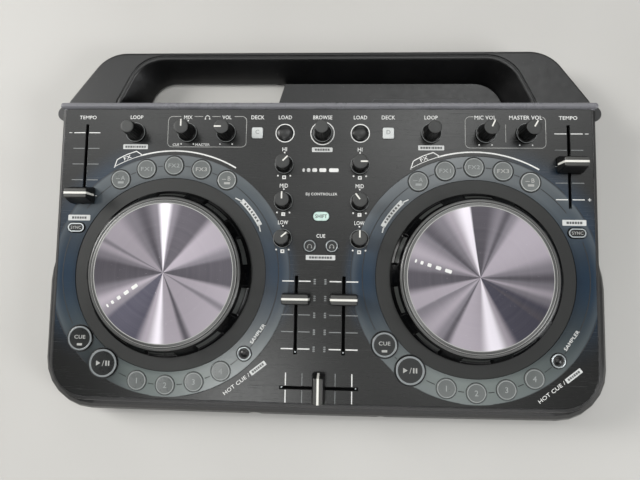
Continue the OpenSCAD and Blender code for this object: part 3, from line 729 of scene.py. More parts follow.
# ------------------------------------------------------------------ carrying handle
def inset(points, distance):
    """Move every side of a closed anticlockwise outline inwards."""
    moved = []
    for i, point in enumerate(points):
        before, here, after = (Vector(points[i - 1]), Vector(point),
                               Vector(points[(i + 1) % len(points)]))
        u, v = (here - before).normalized(), (after - here).normalized()
        n1, n2 = Vector((-u.y, u.x)), Vector((-v.y, v.x))
        moved.append(here + (n1 + n2) * distance / (1 + n1.dot(n2)))
    return moved


def fillet(points, radii, steps):
    """Round the corners of a closed outline."""
    rounded = []
    for i, (corner, radius) in enumerate(zip(points, radii)):
        if radius == 0:
            rounded.append(tuple(corner))
            continue
        u = (points[i - 1] - corner).normalized()
        v = (points[(i + 1) % len(points)] - corner).normalized()
        half = math.acos(max(-1, min(1, u.dot(v)))) / 2
        reach = radius / math.tan(half)
        middle = corner + (u + v).normalized() * radius / math.sin(half)
        first, last = corner + u * reach - middle, corner + v * reach - middle
        start = math.atan2(first.y, first.x)
        sweep = math.atan2(last.y, last.x) - start
        sweep = (sweep + math.pi) % (2 * math.pi) - math.pi
        rounded += [(middle.x + radius * math.cos(start + sweep * j / steps),
                     middle.y + radius * math.sin(start + sweep * j / steps))
                    for j in range(steps + 1)]
    return rounded


def handle():
    """Bail round the rear: one cross-section swept along an outer and an inner path."""
    low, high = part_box("handle_frame")
    rear, wall, top = high.y * 1000, low.y * 1000, high.z * 1000
    outer_path = [(186.4, 70), (186.0, 90.4), (157.6, rear), (-157.6, rear),
                  (-186.0, 90.4), (-186.4, 70)]
    inner_path = [(146.4, 70), (144.6, 90.4), (128.8, rear - 6.6), (-131.0, rear - 6.3),
                  (-146.4, 90.4), (-147.6, 70)]
    # cross-section up the outer face and down the inner one: (inset of the path, z)
    outer = [(1.5, 2), (0.7, 2.5), (0.3, 3.4), (0, 8), (0, top - 3.4), (0.08, top - 2.4),
             (0.3, top - 1.5), (0.75, top - 0.75), (1.35, top - 0.25), (2.0, top)]
    inner = [(-4.1, top), (-3.75, top - 0.12), (-3.4, top - 0.75), (-3.1, top - 0.8),
             (-2.8, top - 0.75), (-2.45, top - 0.2), (-2.2, top - 0.1), (-1.2, top - 0.12),
             (-0.6, top - 0.35), (-0.1, top - 1.0), (0.3, top - 1.9), (1.8, top - 4),
             (4.6, top - 9), (7.4, 8), (9.2, 3.4), (9.35, 2.6), (9.6, 2)]
    sections = [(outer_path, d, z, 8, 28 - d) for d, z in outer]
    sections += [(inner_path, d, z, 12, 25 - d / 2) for d, z in inner]
    verts, rows = [], []
    for path, distance, z, side_radius, rear_radius in sections:
        radii = [0, side_radius, rear_radius, rear_radius, side_radius, 0]
        line = fillet(inset(path, distance), radii, steps=22)
        line[0], line[-1] = (line[0][0], wall), (line[-1][0], wall)
        rows.append(range(len(verts), len(verts) + len(line)))
        verts += [(x, y, z) for x, y in line]
    faces = []
    for i, row in enumerate(rows):
        after = rows[(i + 1) % len(rows)]
        faces += [(row[j], row[j + 1], after[j + 1], after[j]) for j in range(len(row) - 1)]
    faces += [tuple(row[0] for row in rows), tuple(row[-1] for row in reversed(rows))]
    put(make("carrying_handle", verts, faces, "handle_plastic", 32), "handle_frame",
        replaces=True)


handle()


# ------------------------------------------------------------------ jog wheels
JOG_SEG = 720
SCOOP_PITCH, SCOOP_START = 36, 16.5                  # ten finger scoops, degrees


def smoothstep(value):
    return value * value * (3 - 2 * value)


def from_scoop(angle):
    """Degrees from the middle of the nearest scoop."""
    half = SCOOP_PITCH / 2
    return abs((math.degrees(angle) - SCOOP_START + half) % SCOOP_PITCH - half)


def jog_wheel(side):
    node = "jog_ring_" + side
    axis = JOG_AXIS[side]
    low, top = heights(node)
    base = SHEET_Z + 1.0
    lip_r = DISC_R + 2.1
    profile = [(0, low), (5.0, low), (5.0, base), (JOG_R - 1.2, base), (JOG_R - 0.35, base),
               (JOG_R, base + 0.3), (JOG_R, base + 1.0)]
    for i in range(19):                              # flank from the rim up to the lip
        t = (i + 1) / 19
        profile.append((JOG_R - (JOG_R - lip_r) * t ** 1.45,
                        base + 1.0 + (top - base - 2.0) * t))
    profile += [(lip_r - 0.35, top - 0.35), (lip_r - 0.85, top - 0.05), (DISC_R + 0.9, top),
                (DISC_R + 0.45, top - 0.12), (DISC_R + 0.15, top - 0.5),
                (DISC_R + 0.1, top - 2.3), (0, top - 2.3)]

    def up_flank(z):
        return (z - base - 1.0) / (top - base - 2.0)

    def scooped(radius, z, angle):
        across = from_scoop(angle) / 11.5
        if z <= base + 0.8 or radius <= DISC_R + 1.3 or across >= 1:
            return radius
        sideways = smoothstep(min(1.0, (1 - across) * 6.5))
        upward = max(0.0, 1 - abs(up_flank(z) - 0.42) / 0.40)
        return radius - 1.55 * sideways * smoothstep(min(1.0, upward * 2.6))

    def slot(dx, dy, z):
        r = math.hypot(dx, dy)
        # index 2 is the lighter scoop material, a painted reflection
        if from_scoop(math.atan2(dy, dx)) < 9.6 and 0.2 < up_flank(z) < 0.66 and r > DISC_R + 1:
            return 2
        return r > DISC_R and z > top - 1.15

    verts, rings = turned_rings(profile, axis.x, axis.y, JOG_SEG, scooped)
    faces = [face_between(ring, following, i, JOG_SEG)
             for i in range(JOG_SEG) for ring, following in zip(rings, rings[1:])]
    wheel = make("jog_wheel_" + side, verts, faces,
                 ["jog_gloss_black", "jog_bevel", "jog_scoop_sheen"], 32)
    paint(wheel, axis.x, axis.y, slot)
    put(wheel, node, replaces=True)


def jog_disc(side):
    """Plate with its polished rim and fine turning grooves."""
    node = "jog_plate_" + side
    axis = JOG_AXIS[side]
    low = heights(node)[0]
    profile = [(0, low), (DISC_R, low), (DISC_R, DISC_TOP - 0.8),
               (DISC_R - 0.25, DISC_TOP - 0.45), (DISC_R - 0.9, DISC_TOP - 0.28),
               (DISC_R - 1.9, DISC_TOP - 0.16), (DISC_R - 2.25, DISC_TOP - 0.12),
               (DISC_R - 2.4, DISC_TOP)]
    radius, groove = DISC_R - 2.7, False
    while radius > 1.0:
        profile.append((radius, DISC_TOP - (0.006 if groove else 0.0)))
        radius -= 0.75
        groove = not groove
    profile += [(0.35, DISC_TOP), (0.2, DISC_TOP - 0.08), (0, DISC_TOP - 0.1)]
    disc = lathe("jog_disc_" + side, profile, axis.x, axis.y, ["disc_" + side, "jog_bevel"],
                 seg=256, angle=40)
    paint(disc, axis.x, axis.y, lambda dx, dy, z: math.hypot(dx, dy) > DISC_R - 2.3)
    put(disc, node, replaces=True)
    rings = Marks(DISC_TOP - 0.3, DISC_TOP + 0.06)
    rings.ring(axis.x, axis.y, DISC_R - 2.75, DISC_R - 2.25, steps=256)
    rings.bottom, rings.top = DISC_TOP - 0.8, DISC_TOP - 0.33
    rings.ring(axis.x, axis.y, DISC_R - 0.55, DISC_R - 0.3, steps=256)
    rings.done("jog_disc_ring_" + side, "ink_soft", node, smooth=True)
    # row of five bars; where it lies and its tilt, in degrees anticlockwise from +X
    around, tilt = {"left": (210, 36), "right": (167, -17)}[side]
    around, slope = math.radians(around), math.radians(tilt)
    x, y = axis.x + 31 * math.cos(around), axis.y + 31 * math.sin(around)
    bars = Marks(DISC_TOP - 0.3, DISC_TOP + 0.05)
    for along, width in ((-11.2, 1.0), (-7.2, 1.6), (-2.2, 2.2), (3.8, 3.0), (10.4, 3.8)):
        bars.rect(x + math.cos(slope) * along, y + math.sin(slope) * along,
                  width * 1.15, 2.3, tilt, corner=0.6)
    bars.done("jog_disc_mark_" + side, "ink_white", node)


for _, side in SIDES:
    jog_wheel(side)
    jog_disc(side)


# ------------------------------------------------------------------ knobs
def knob(node, skirt_r, height, turn):
    """Fluted knob; turn is its pointer's angle clockwise from +Y, None for no pointer."""
    low = heights(node)[0]
    x, y = centre(node).xy
    top = SHEET_Z + height
    body_r = skirt_r - 1.6                           # just above the skirt
    top_r = 5.0 if turn is not None else 4.5
    profile = [(0, low), (3.0, low), (3.0, SHEET_Z + 0.5), (skirt_r - 0.35, SHEET_Z + 0.5),
               (skirt_r, SHEET_Z + 0.8), (skirt_r, SHEET_Z + 1.15),
               (skirt_r - 0.3, SHEET_Z + 1.5), (skirt_r - 0.8, SHEET_Z + 1.75),
               (body_r + 0.35, SHEET_Z + 1.9), (body_r + 0.1, SHEET_Z + 2.3)]
    for i in range(13):
        t = i / 12
        profile.append((body_r - (body_r - top_r) * t, SHEET_Z + 3.0 + (height - 3.9) * t))
    profile += [(top_r - 0.04, top - 0.6), (top_r - 0.16, top - 0.3), (top_r - 0.4, top - 0.1),
                (top_r - 0.8, top), (2.6, top - 0.05), (0, top - 0.08)]

    def fluted(radius, z, angle):
        low_end, high_end = SHEET_Z + 2.9, top - 0.7
        if z < low_end or z > high_end or radius < 4.0:
            return radius
        fade = min(1.0, (z - low_end) / 0.9) * min(1.0, (high_end - z) / 0.9)
        return radius - 0.34 * fade * max(0.0, math.cos(16 * angle)) ** 0.6

    body = lathe(node + "_cap", profile, x, y, ["knob_black", "knob_top"], seg=216,
                 radius_at=fluted, angle=45)
    paint(body, x, y, lambda dx, dy, z: z > top - 0.35)
    put(body, node, replaces=True)
    line = Marks(SHEET_Z + 1.2, SHEET_Z + 1.62)
    line.ring(x, y, skirt_r - 0.42, skirt_r - 0.12)
    line.done(node + "_skirt_line", "ink_grey", node, smooth=True)
    if turn is None:
        return
    dx, dy = math.sin(math.radians(turn)), math.cos(math.radians(turn))
    # pointer path from the middle of the top down the side: (distance from the axis, z)
    path = [(0.2, top + 0.05), (4.25, top + 0.1), (4.72, top - 0.02), (4.98, top - 0.28),
            (5.1, top - 0.75), (body_r + 0.12, SHEET_Z + 3.0), (body_r + 0.25, SHEET_Z + 2.2)]
    sunk = [(r, z - 0.5) if z > top - 0.1 else (r - 0.5, z - 0.15) for r, z in path]

    def edges(points):
        return [(x + dx * r - dy * half, y + dy * r + dx * half, z)
                for r, z in points for half in (-0.48, 0.48)]
    ribbon(node + "_pointer", edges(path), edges(sunk), node)


TALL = heights("browse_knob")[1] - SHEET_Z
SHORT = heights("eq_mid_knob_left")[1] - SHEET_Z
for node, skirt_r, turn in (
        ("loop_knob_left", 6.9, None), ("phones_mix_knob", 6.9, 0),
        ("phones_level_knob", 6.9, 270), ("browse_knob", 6.6, None),
        ("loop_knob_right", 6.9, None), ("mic_level_knob", 6.9, 25),
        ("master_level_knob", 6.9, 30)):
    knob(node, skirt_r, TALL, turn)
for side, turns in (("left", (45, 0, 50)), ("right", (90, -38, 0))):
    for band, turn in zip(("high", "mid", "low"), turns):
        knob("eq_%s_knob_%s" % (band, side), 6.5, SHORT, turn)


# ------------------------------------------------------------------ fader caps
def fader_cap(node, length, width, top_length, top_width, height, lever, crosswise=False):
    """Stepped cap, long in X, or in Y if crosswise, with its lever and raised white line."""
    middle = centre(node)

    def spot(x, y):
        if crosswise:
            x, y = -y, x
        return middle.x + x, middle.y + y

    def level(t):
        return (length + (top_length - length) * t, width + (top_width - width) * t,
                2.0 + (height - 2.9) * t)

    # (height, length, width, corner radius)
    rings = [(0.8, length - 0.5, width - 0.5, 0.9), (1.05, length, width, 1.1),
             (2.0, length, width, 1.1)]
    for i in range(4):
        (l0, w0, z0), (l1, w1, z1) = level(i / 4), level((i + 1) / 4)
        step_l, step_w = l0 + (l1 - l0) * 0.5, w0 + (w1 - w0) * 0.45
        rings += [(z0 + (z1 - z0) * 0.72, step_l, step_w, 1.0),
                  (z0 + (z1 - z0) * 0.86, step_l - 0.25, step_w - 0.35, 0.9),
                  (z1, l1, w1, 0.9)]
    rings += [(height - 0.45, top_length - 0.15, top_width - 0.2, 0.9),
              (height - 0.12, top_length - 0.7, top_width - 0.8, 0.8),
              (height, top_length - 1.3, top_width - 1.5, 0.6)]
    verts, faces = loft([([spot(*point) for point in rounded_rect(l, w, corner)], SHEET_Z + z)
                         for z, l, w, corner in rings])
    body = make(node + "_body", verts, faces, ["cap_black", "cap_rib"], 30)
    paint(body, middle.x, middle.y, lambda dx, dy, z: z > SHEET_Z + height - 0.2)
    put(body, node, replaces=True)
    # lever that reaches down through the slot
    blade = Marks(heights(node)[0], SHEET_Z + 1.0)
    size = (lever, 1.4) if crosswise else (1.4, lever)
    blade.rect(middle.x, middle.y, *size, corner=0.3)
    blade.done(node + "_lever", "module_metal", node, smooth=True)
    # white line over the top and down both ends: (distance along the cap, height)
    lift, down = 0.14, 2.6
    half = [(length / 2 + 0.10, down),
            (length / 2 + 0.12 + (top_length - length) / 4, (down + height - 0.9) / 2),
            (top_length / 2 + 0.12, height - 0.75),
            (top_length / 2 - 0.2, height - 0.15 + lift),
            (top_length / 2 - 0.8, height + lift)]
    path = [(-x, z) for x, z in half] + half[::-1]
    sunk = []
    for x, z in path:
        sign = -1 if x < 0 else 1
        sunk.append((x - sign * 0.6, z - 0.15) if z < height - 0.3
                    else (x - sign * 0.3, z - 0.6))

    def edges(points):
        return [(*spot(x, y), SHEET_Z + z) for x, z in points for y in (-0.72, 0.72)]
    ribbon(node + "_line", edges(path), edges(sunk), node)


for kind, width, sizes in (
        ("tempo", 11.4, dict(length=17, top_length=15.8, top_width=6.6, height=11.6, lever=9)),
        ("channel", 8, dict(length=18.4, top_length=17.6, top_width=6.8, height=10.6,
                            lever=5))):
    for _, side in SIDES:
        fader_cap(kind + "_cap_" + side, width=width, **sizes)
fader_cap("crossfader_cap", length=20.5, width=8.4, top_length=17, top_width=6.8, height=11,
          lever=5, crosswise=True)


# ------------------------------------------------------------------ push buttons
def key_profile(radius, low, top, edge, dish=0.0, dome=0.0):
    """Stem, flange and a cap with a rounded edge; top is the height of the cap's edge."""
    profile = [(0, low), (2.0, low), (2.0, FLANGE_Z - 1.6), (radius + 1.1, FLANGE_Z - 1.6),
               (radius + 1.2, FLANGE_Z - 1.5), (radius + 1.2, FLANGE_Z - 0.3),
               (radius + 1.1, FLANGE_Z - 0.2), (radius, FLANGE_Z - 0.2),
               (radius, top - edge - 0.05)]
    for i in range(1, 6):
        angle = math.radians(90 * i / 5)
        profile.append((radius - edge + edge * math.cos(angle),
                        top - edge + edge * math.sin(angle)))
    for i in range(1, 7):
        r = (radius - edge) * (1 - i / 7)
        profile.append((r, top + dome * (1 - (r / radius) ** 2)
                        - dish * (1 - (r / (radius - edge)) ** 2)))
    return profile + [(0, top + dome - dish)]


def round_key(node, radius, edge, dish=0.0, dome=0.0, material="button_dark"):
    low, top = heights(node)
    x, y = centre(node).xy
    profile = key_profile(radius, low, top - dome, edge, dish, dome)
    put(lathe(node + "_key", profile, x, y, material, angle=40), node, replaces=True)
    return x, y, top


def raised_ring(name, node, x, y, inner, outer, top, material, up, down, seg=96):
    profile = [(inner, top - down), (outer, top - down), (outer, top - 0.02),
               (outer - 0.1, top + up), (inner + 0.1, top + up), (inner, top - 0.02)]
    put(lathe(name, profile, x, y, material, seg=seg, angle=60), node)


def seat(name, x, y, inner, width):
    """Dark line on the top sheet round a key."""
    line = Marks(SHEET_Z - 0.3, SHEET_Z + 0.03)
    line.ring(x, y, inner, inner + width)
    line.done("seat_" + name, "ink_dark")


def effect_keys(side):
    """Strip of five keys at the rear of the jog, on a common carrier."""
    node = "fx_keys_" + side
    axis = JOG_AXIS[side]
    low, top = heights(node)
    for i, words in enumerate(("A", "FX1", "FX2", "FX3", "B")):
        x, y = polar(axis.x, axis.y, KEY_CIRCLE_R, 15 * i - 30)
        put(lathe("%s_key_%d" % (node, i + 1), key_profile(6.6, low, top, edge=0.4, dish=0.1),
                  x, y, "key_smoke", seg=72, angle=40), node)
        raised_ring("%s_ring_%d" % (node, i + 1), node, x, y, 5.7, 6.2, top,
                    "ink_key_b" if words == "B" else "ink_key", up=0.03, down=0.35)
        marks = Marks(top - 0.3, top + 0.05)
        if len(words) == 1:
            marks.text(words, x + 1.6, y + 1.1, 2.9)
            marks.rect(x - 2.0, y + 0.5, 2.8, 0.4)
            marks.rect(x + 0.2, y - 2.2, 4.2, 1.5, corner=0.2)
        else:
            marks.text(words, x, y, 2.7, 7.8)
        marks.done("%s_mark_%d" % (node, i + 1), "ink_key" if i < 3 else "ink_soft", node)
        seat("%s_%d" % (node, i + 1), x, y, 6.88, 0.42)
    web = Marks(FLANGE_Z - 1.55, FLANGE_Z - 0.45)
    web.arc(axis.x, axis.y, KEY_CIRCLE_R - 1.6, KEY_CIRCLE_R + 1.6, -30, 30, 40)
    web.done(node + "_carrier", "key_smoke", node, smooth=True, replaces=True)


def pad(number, side):
    node = "pad_%d_%s" % (number, side)
    x, y, top = round_key(node, 6.5, edge=0.4, dish=0.12, material="key_smoke")
    raised_ring(node + "_ring", node, x, y, 5.5, 5.95, top, "ink_key", up=0.02, down=0.35)
    marks = Marks(top - 0.3, top + 0.04)
    marks.text(str(number), x, y, 3.7)
    marks.done(node + "_mark", "ink_key", node)
    seat(node, x, y, 6.5, 0.35)


def transport_button(node, radius, inner, outer, draw):
    x, y, top = round_key(node, radius, edge=0.6, dish=0.15)
    raised_ring(node + "_ring", node, x, y, inner, outer, top, "ring_grey",
                up=0.14, down=0.6, seg=128)
    marks = Marks(top - 0.5, top)
    draw(marks, x, y)
    marks.done(node + "_mark", "ink_soft", node)
    seat(node, x, y, radius + 0.3, 0.4)


def play_sign(marks, x, y):
    marks.prism([(x - 4.6, y + 1.75), (x - 4.6, y - 1.75), (x - 1.7, y)])
    marks.prism([(x - 0.5, y - 1.9), (x - 0.15, y - 1.9), (x + 0.95, y + 1.9),
                 (x + 0.6, y + 1.9)])
    for bar in (2.3, 4.1):
        marks.rect(x + bar, y, 0.95, 3.4)


def cue_sign(marks, x, y):
    marks.text("CUE", x, y + 0.9, 2.5, 7.6)
    marks.rect(x, y - 4.1, 3.6, 1.5, corner=0.25)


def sampler_button(side):
    """Silver bezel round a small black dome."""
    node = "sampler_button_" + side
    x, y = centre(node).xy
    low, top = heights(node)
    profile = [(0, low), (2, low), (2, FLANGE_Z - 1.6), (5.9, FLANGE_Z - 1.6),
               (5.9, FLANGE_Z - 0.2), (4.7, FLANGE_Z - 0.2), (4.7, top - 0.4),
               (4.45, top - 0.1), (4.1, top), (3.75, top - 0.12), (3.45, top - 0.9),
               (2.9, top - 1.1), (2.3, top - 1.0), (1.9, top - 0.75), (1.3, top - 0.45),
               (0.7, top - 0.3), (0, top - 0.26)]
    button = lathe(node + "_key", profile, x, y, ["button_gloss", "silver"], angle=40)
    paint(button, x, y, lambda dx, dy, z: 3.5 < math.hypot(dx, dy) < 4.6 and z > top - 1.0)
    put(button, node, replaces=True)
    seat(node, x, y, 5.0, 0.35)


def monitor_button(side):
    """Headphone button beside the mixer."""
    node = "monitor_button_" + side
    x, y, top = round_key(node, 4.2, edge=0.35, dish=0.1)
    raised_ring(node + "_ring", node, x, y, 3.4, 4.0, top, "silver", up=0.08, down=0.5)
    marks = Marks(top - 0.5, top)
    marks.arc(x, y - 0.35, 1.15, 1.55, -100, 100, 24)
    for ear in (-1.3, 1.3):
        marks.rect(x + ear, y - 0.95, 0.75, 1.3, corner=0.2)
    marks.done(node + "_mark", "ink_soft", node)
    seat(node, x, y, 4.5, 0.3)


for _, side in SIDES:
    effect_keys(side)
    for number in (1, 2, 3, 4):
        pad(number, side)
    transport_button("play_button_" + side, 9.8, 8.05, 9.35, play_sign)
    transport_button("cue_button_" + side, 8.6, 7.0, 8.2, cue_sign)
    sampler_button(side)
    monitor_button(side)
    round_key("load_button_" + side, 5.3, edge=0.7, dome=0.9, material="button_gloss")


def shaped_key(node, outline, material):
    """Key with a rounded top edge; outline(inset) gives its points about the origin."""
    low, top = heights(node)
    x, y = centre(node).xy
    edge = 0.45
    levels = [(-1.2, FLANGE_Z - 1.6), (-1.2, FLANGE_Z - 0.2), (0, FLANGE_Z - 0.2),
              (0, top - edge)]
    for i in range(1, 5):
        angle = math.radians(90 * i / 4)
        levels.append((edge - edge * math.cos(angle), top - edge + edge * math.sin(angle)))
    verts, faces = loft([(shift(outline(d), x, y), z) for d, z in levels])
    put(make(node + "_key", verts, faces, material, 40), node, replaces=True)
    stem = [(0, low), (2, low), (2, FLANGE_Z - 1.4), (0, FLANGE_Z - 1.4)]
    put(lathe(node + "_stem", stem, x, y, material, seg=48), node)
    return x, y, top


def sync_button(side):
    node = "sync_button_" + side
    x, y, top = shaped_key(node, lambda d: pill(12.2 - 2 * d, 7 - 2 * d), "button_dark")
    rim = Marks(top - 0.4, top + 0.08)
    rim.inner_band(shift(pill(11.2, 6.0), x, y), 0.7)
    rim.done(node + "_ring", "silver", node)
    marks = Marks(top - 0.3, top + 0.05)
    marks.text("SYNC", x, y, 2.1, 7.4)
    marks.done(node + "_mark", "ink_soft", node)


def deck_button(side, letter):
    node = "deck_button_" + side
    x, y, top = shaped_key(
        node, lambda d: rounded_rect(7.8 - 2 * d, 7.8 - 2 * d, max(0.3, 1.2 - d)),
        "button_white")
    marks = Marks(top - 0.3, top + 0.04)
    marks.text(letter, x, y + 0.6, 2.9)
    marks.done(node + "_mark", "ink_grey", node)
    line = Marks(SHEET_Z - 0.3, SHEET_Z + 0.03)
    line.strip(shift(rounded_rect(8.7, 8.7, 1.6), x, y),
               shift(rounded_rect(8.2, 8.2, 1.4), x, y), closed=True)
    line.done("seat_" + node, "ink_dark")


def shift_button():
    node = "shift_button"
    x, y, top = shaped_key(node, lambda d: pill(11 - 2 * d, 6.2 - 2 * d), "button_green")
    marks = Marks(top - 0.3, top + 0.04)
    marks.text("SHIFT", x, y, 2.5, 8.0, bold=0.18)
    marks.done("shift_button_mark", "ink_tagtext", node)
    line = Marks(SHEET_Z - 0.3, SHEET_Z + 0.035)
    line.inner_band(shift(pill(13.0, 8.2), x, y), 0.75)
    line.done("seat_shift", "ink_dark")


for (_, side), letter in zip(SIDES, "CD"):
    sync_button(side)
    deck_button(side, letter)
shift_button()

# ------------------------------------------------------------------ legends on the top sheet
PRINT_LOW, PRINT_TOP = SHEET_Z - 0.3, SHEET_Z + 0.05
white = Marks(PRINT_LOW, PRINT_TOP)
grey = Marks(PRINT_LOW, PRINT_TOP)
dark = Marks(PRINT_LOW, PRINT_TOP - 0.01)
tags = Marks(PRINT_LOW, PRINT_TOP)
tag_marks = Marks(PRINT_TOP - 0.2, PRINT_TOP + 0.03)
outlines = Marks(PRINT_LOW, PRINT_TOP)
LABEL_Y = ROW_Y + 11.2
TEMPO_Y, CHANNEL_Y = 43.6, -58.5                     # middles of the fader scales
SCALE_END, SCALE_STEP = 22.5, -11.25


def tag(x, y, length, width, dashes, dash_height=1.5, turn=0, corner=0.5):
    """Pale tag with a row of dashes of the given widths."""
    tags.rect(x, y, length, width, turn, corner)
    gap = 0.42
    cos, sin = math.cos(math.radians(turn)), math.sin(math.radians(turn))
    start = -(sum(dashes) + gap * (len(dashes) - 1)) / 2
    for dash in dashes:
        along = start + dash / 2
        tag_marks.rect(x + cos * along, y + sin * along, dash, dash_height, turn)
        start += dash + gap


def equaliser_legend(band, side, words, width):
    x, y = centre("eq_%s_knob_%s" % (band, side)).xy
    white.text(words, x, y + 11.0, 2.75, width)
    white.disc(x, y + 8.6, 0.55)
    for end in (-4.3, 4.3):
        white.disc(x + end, y - 7.6, 0.6)
    white.rect(x, y - 8.7, 2.6, 2.5, corner=0.3)
    tag_marks.rect(x, y - 8.7, 1.1, 0.45 if band == "mid" else 1.1)


for sign, side in SIDES:
    if side == "left":
        white.rect(centre("tempo_cap_left").x - 12.0, TEMPO_Y + SCALE_END, 2.2, 0.45)
    for words, part, drop, height, width in (
            ("TEMPO", "tempo_cap_", 0.2, 2.53, 12.2), ("LOOP", "loop_knob_", 0, 2.64, 9),
            ("DECK", "deck_button_", 0, 2.75, 9.2), ("LOAD", "load_button_", 0, 2.75, 9.2)):
        white.text(words, centre(part + side).x, LABEL_Y - drop, height, width)
    for band, words, width in (("high", "HI", 3.2), ("mid", "MID", 5.6), ("low", "LOW", 6.8)):
        equaliser_legend(band, side, words, width)
    x, y = centre("loop_knob_" + side).xy
    tag(x, y - 10.05, 17.6, 3.4, (1.5, 1.2, 1.6, 1.1, 0.5, 1.4, 1.3, 1.5, 1.2))
    x, y = centre("sync_button_" + side).xy
    tag(x - sign * 1.6, y + 6.9, 15.6, 3.9, (1.6, 1.2, 1.4, 1.3, 1.2, 1.5), dash_height=1.6)

mix_x, phones_x = centre("phones_mix_knob").x, centre("phones_level_knob").x
mic_x, master_x = centre("mic_level_knob").x, centre("master_level_knob").x
monitor_y = centre("monitor_button_left").y
for words, x, y, height, width in (
        ("MIX", mix_x, LABEL_Y, 2.64, 6), ("VOL", phones_x, LABEL_Y, 2.64, 6.4),
        ("BROWSE", 0, LABEL_Y, 2.75, 13.2), ("MIC VOL", mic_x, LABEL_Y, 2.75, 14.4),
        ("MASTER VOL", master_x, LABEL_Y, 2.75, 22.0), ("DJ CONTROLLER", 0, 23.3, 2.31, 21.5)):
    white.text(words, x, y, height, width)
# small headphone sign between the two phones knobs
sign_x = (mix_x + phones_x) / 2
white.arc(sign_x, LABEL_Y - 0.4, 1.3, 1.75, -100, 100, 20)
for ear in (-1.5, 1.5):
    white.rect(sign_x + ear, LABEL_Y - 0.9, 0.8, 1.5, corner=0.2)
# row of five bars in the middle: (x, length)
for x, length in ((-12.6, 1.6), (-9.2, 2.4), (-5.0, 3.4), (0.6, 4.8), (8.2, 6.6)):
    white.rect(x, 40.2, length, 2.6, corner=0.9)
tag(0, 54.5, 14.2, 3.2, (1.3, 1.5, 1.1, 1.5, 1.2, 1.4))
white.text("CUE", 0, monitor_y + 6.9, 2.53, 6.0)
tag(0, monitor_y - 7.8, 20, 3.4, (1.2, 1.6, 1.5, 0.5, 1.4, 1.6, 1.1, 1.6, 1.4))
for node in ("phones_mix_knob", "phones_level_knob", "mic_level_knob", "master_level_knob"):
    x, y = centre(node).xy
    for end in (-4.3, 4.3):
        white.disc(x + end, y - 7.9, 0.5)
white.disc(mix_x, ROW_Y + 8.8, 0.5)
white.text("CUE", mix_x - 8.0, ROW_Y - 8.4, 1.87, 4.6)
white.text("MASTER", mix_x + 10.8, ROW_Y - 8.4, 1.87, 10.2)

# rounded outlines round the phones knobs and the mic and master knobs
FRAME_REAR, FRAME_FRONT = ROW_Y + 11.8, ROW_Y - 10.0
FRAME_CORNER, FRAME_LINE = 3.2, 0.42


def knob_frame(left, right, gap_left, gap_right):
    """Outline left open along the rear between the gap's ends."""
    points = [(gap_left, FRAME_REAR)]
    x0, x1 = left + FRAME_CORNER, right - FRAME_CORNER
    y0, y1 = FRAME_FRONT + FRAME_CORNER, FRAME_REAR - FRAME_CORNER
    for x, y, start in ((x0, y1, 90), (x0, y0, 180), (x1, y0, 270), (x1, y1, 0)):
        for i in range(7):
            angle = math.radians(start + 15 * i)
            points.append((x + FRAME_CORNER * math.cos(angle),
                           y + FRAME_CORNER * math.sin(angle)))
    points.append((gap_right, FRAME_REAR))
    outlines.line(points, FRAME_LINE)


knob_frame(mix_x - 14, phones_x + 14, mix_x - 5.0, phones_x + 5.4)
outlines.line([(mix_x + 4.4, FRAME_REAR), (sign_x - 3.2, FRAME_REAR)], FRAME_LINE)
outlines.line([(sign_x + 3.2, FRAME_REAR), (phones_x - 4.6, FRAME_REAR)], FRAME_LINE)
knob_frame(mic_x - 13.6, master_x + 13.2, mic_x - 8.0, master_x + 11.0)
divider_x = (mic_x + master_x) / 2
outlines.line([(divider_x, FRAME_REAR - 5.5), (divider_x, FRAME_FRONT + 4)], 0.4)
outlines.done("legend_outlines", "ink_soft")

# rings round the load buttons and the browse knob
for _, side in SIDES:
    x, y = centre("load_button_" + side).xy
    white.ring(x, y, 5.95, 6.6)
    dark.ring(x, y, 5.6, 5.95)
white.ring(*centre("browse_knob").xy, 7.75, 8.4)


def fader_scale(x, y, first, step, reach, length, thick, thin, crosswise=False):
    """Five pairs of ticks beside a slot; the end ones are thick and white."""
    for i in range(5):
        along = first + step * i
        marks, width = (white, thick) if i in (0, 4) else (grey, thin)
        for off in (-reach, reach):
            if crosswise:
                marks.rect(x + along, y + off, width, length)
            else:
                marks.rect(x + off, y + along, length, width)


for sign, side in SIDES:
    x = centre("tempo_cap_" + side).x
    fader_scale(x, TEMPO_Y, SCALE_END, SCALE_STEP, reach=5.4, length=8.0, thick=0.62, thin=0.5)
    if side == "right":
        # plus-like mark at the front end, dash at the rear end
        white.rect(x + 12.6, TEMPO_Y - SCALE_END, 2.1, 0.45)
        white.rect(x + 12.6, TEMPO_Y - SCALE_END, 0.45, 2.1)
        white.rect(x + 12.0, TEMPO_Y + SCALE_END, 2.4, 0.45)
    fader_scale(centre("channel_cap_" + side).x, CHANNEL_Y, SCALE_END, SCALE_STEP, reach=5.6,
                length=8.0, thick=0.75, thin=0.6)
    # small dotted bars between the channel faders
    for i in range(5):
        for j in (-1, 0, 1):
            grey.rect(sign * 3.6, -36.2 - 11.2 * i + j * 1.35, 1.5, 0.95, corner=0.3)
crossfader_y = centre("crossfader_cap").y
fader_scale(0, crossfader_y, -22, 11, reach=5.6, length=8.2, thick=0.75, thin=0.55,
            crosswise=True)
# little silver rivets that show at the slot ends
rivets = Marks(SHEET_Z - 3.3, SHEET_Z - 1.2)
for _, side in SIDES:
    rivets.disc(centre("channel_cap_" + side).x, CHANNEL_Y - 24.6, 0.5)
for x in (-24.6, 24.6):
    rivets.disc(x, crossfader_y, 0.5)

# ------------------------------------------------------------------ legends round each deck
# slanted tag outline at the rear left of the deck: (radius, degrees)
FX_TAG = ((84.6, -30.2), (88.7, -27.4), (89.0, -26.0), (89.3, -22.5), (89.2, -17.8),
          (85.4, -15.6))
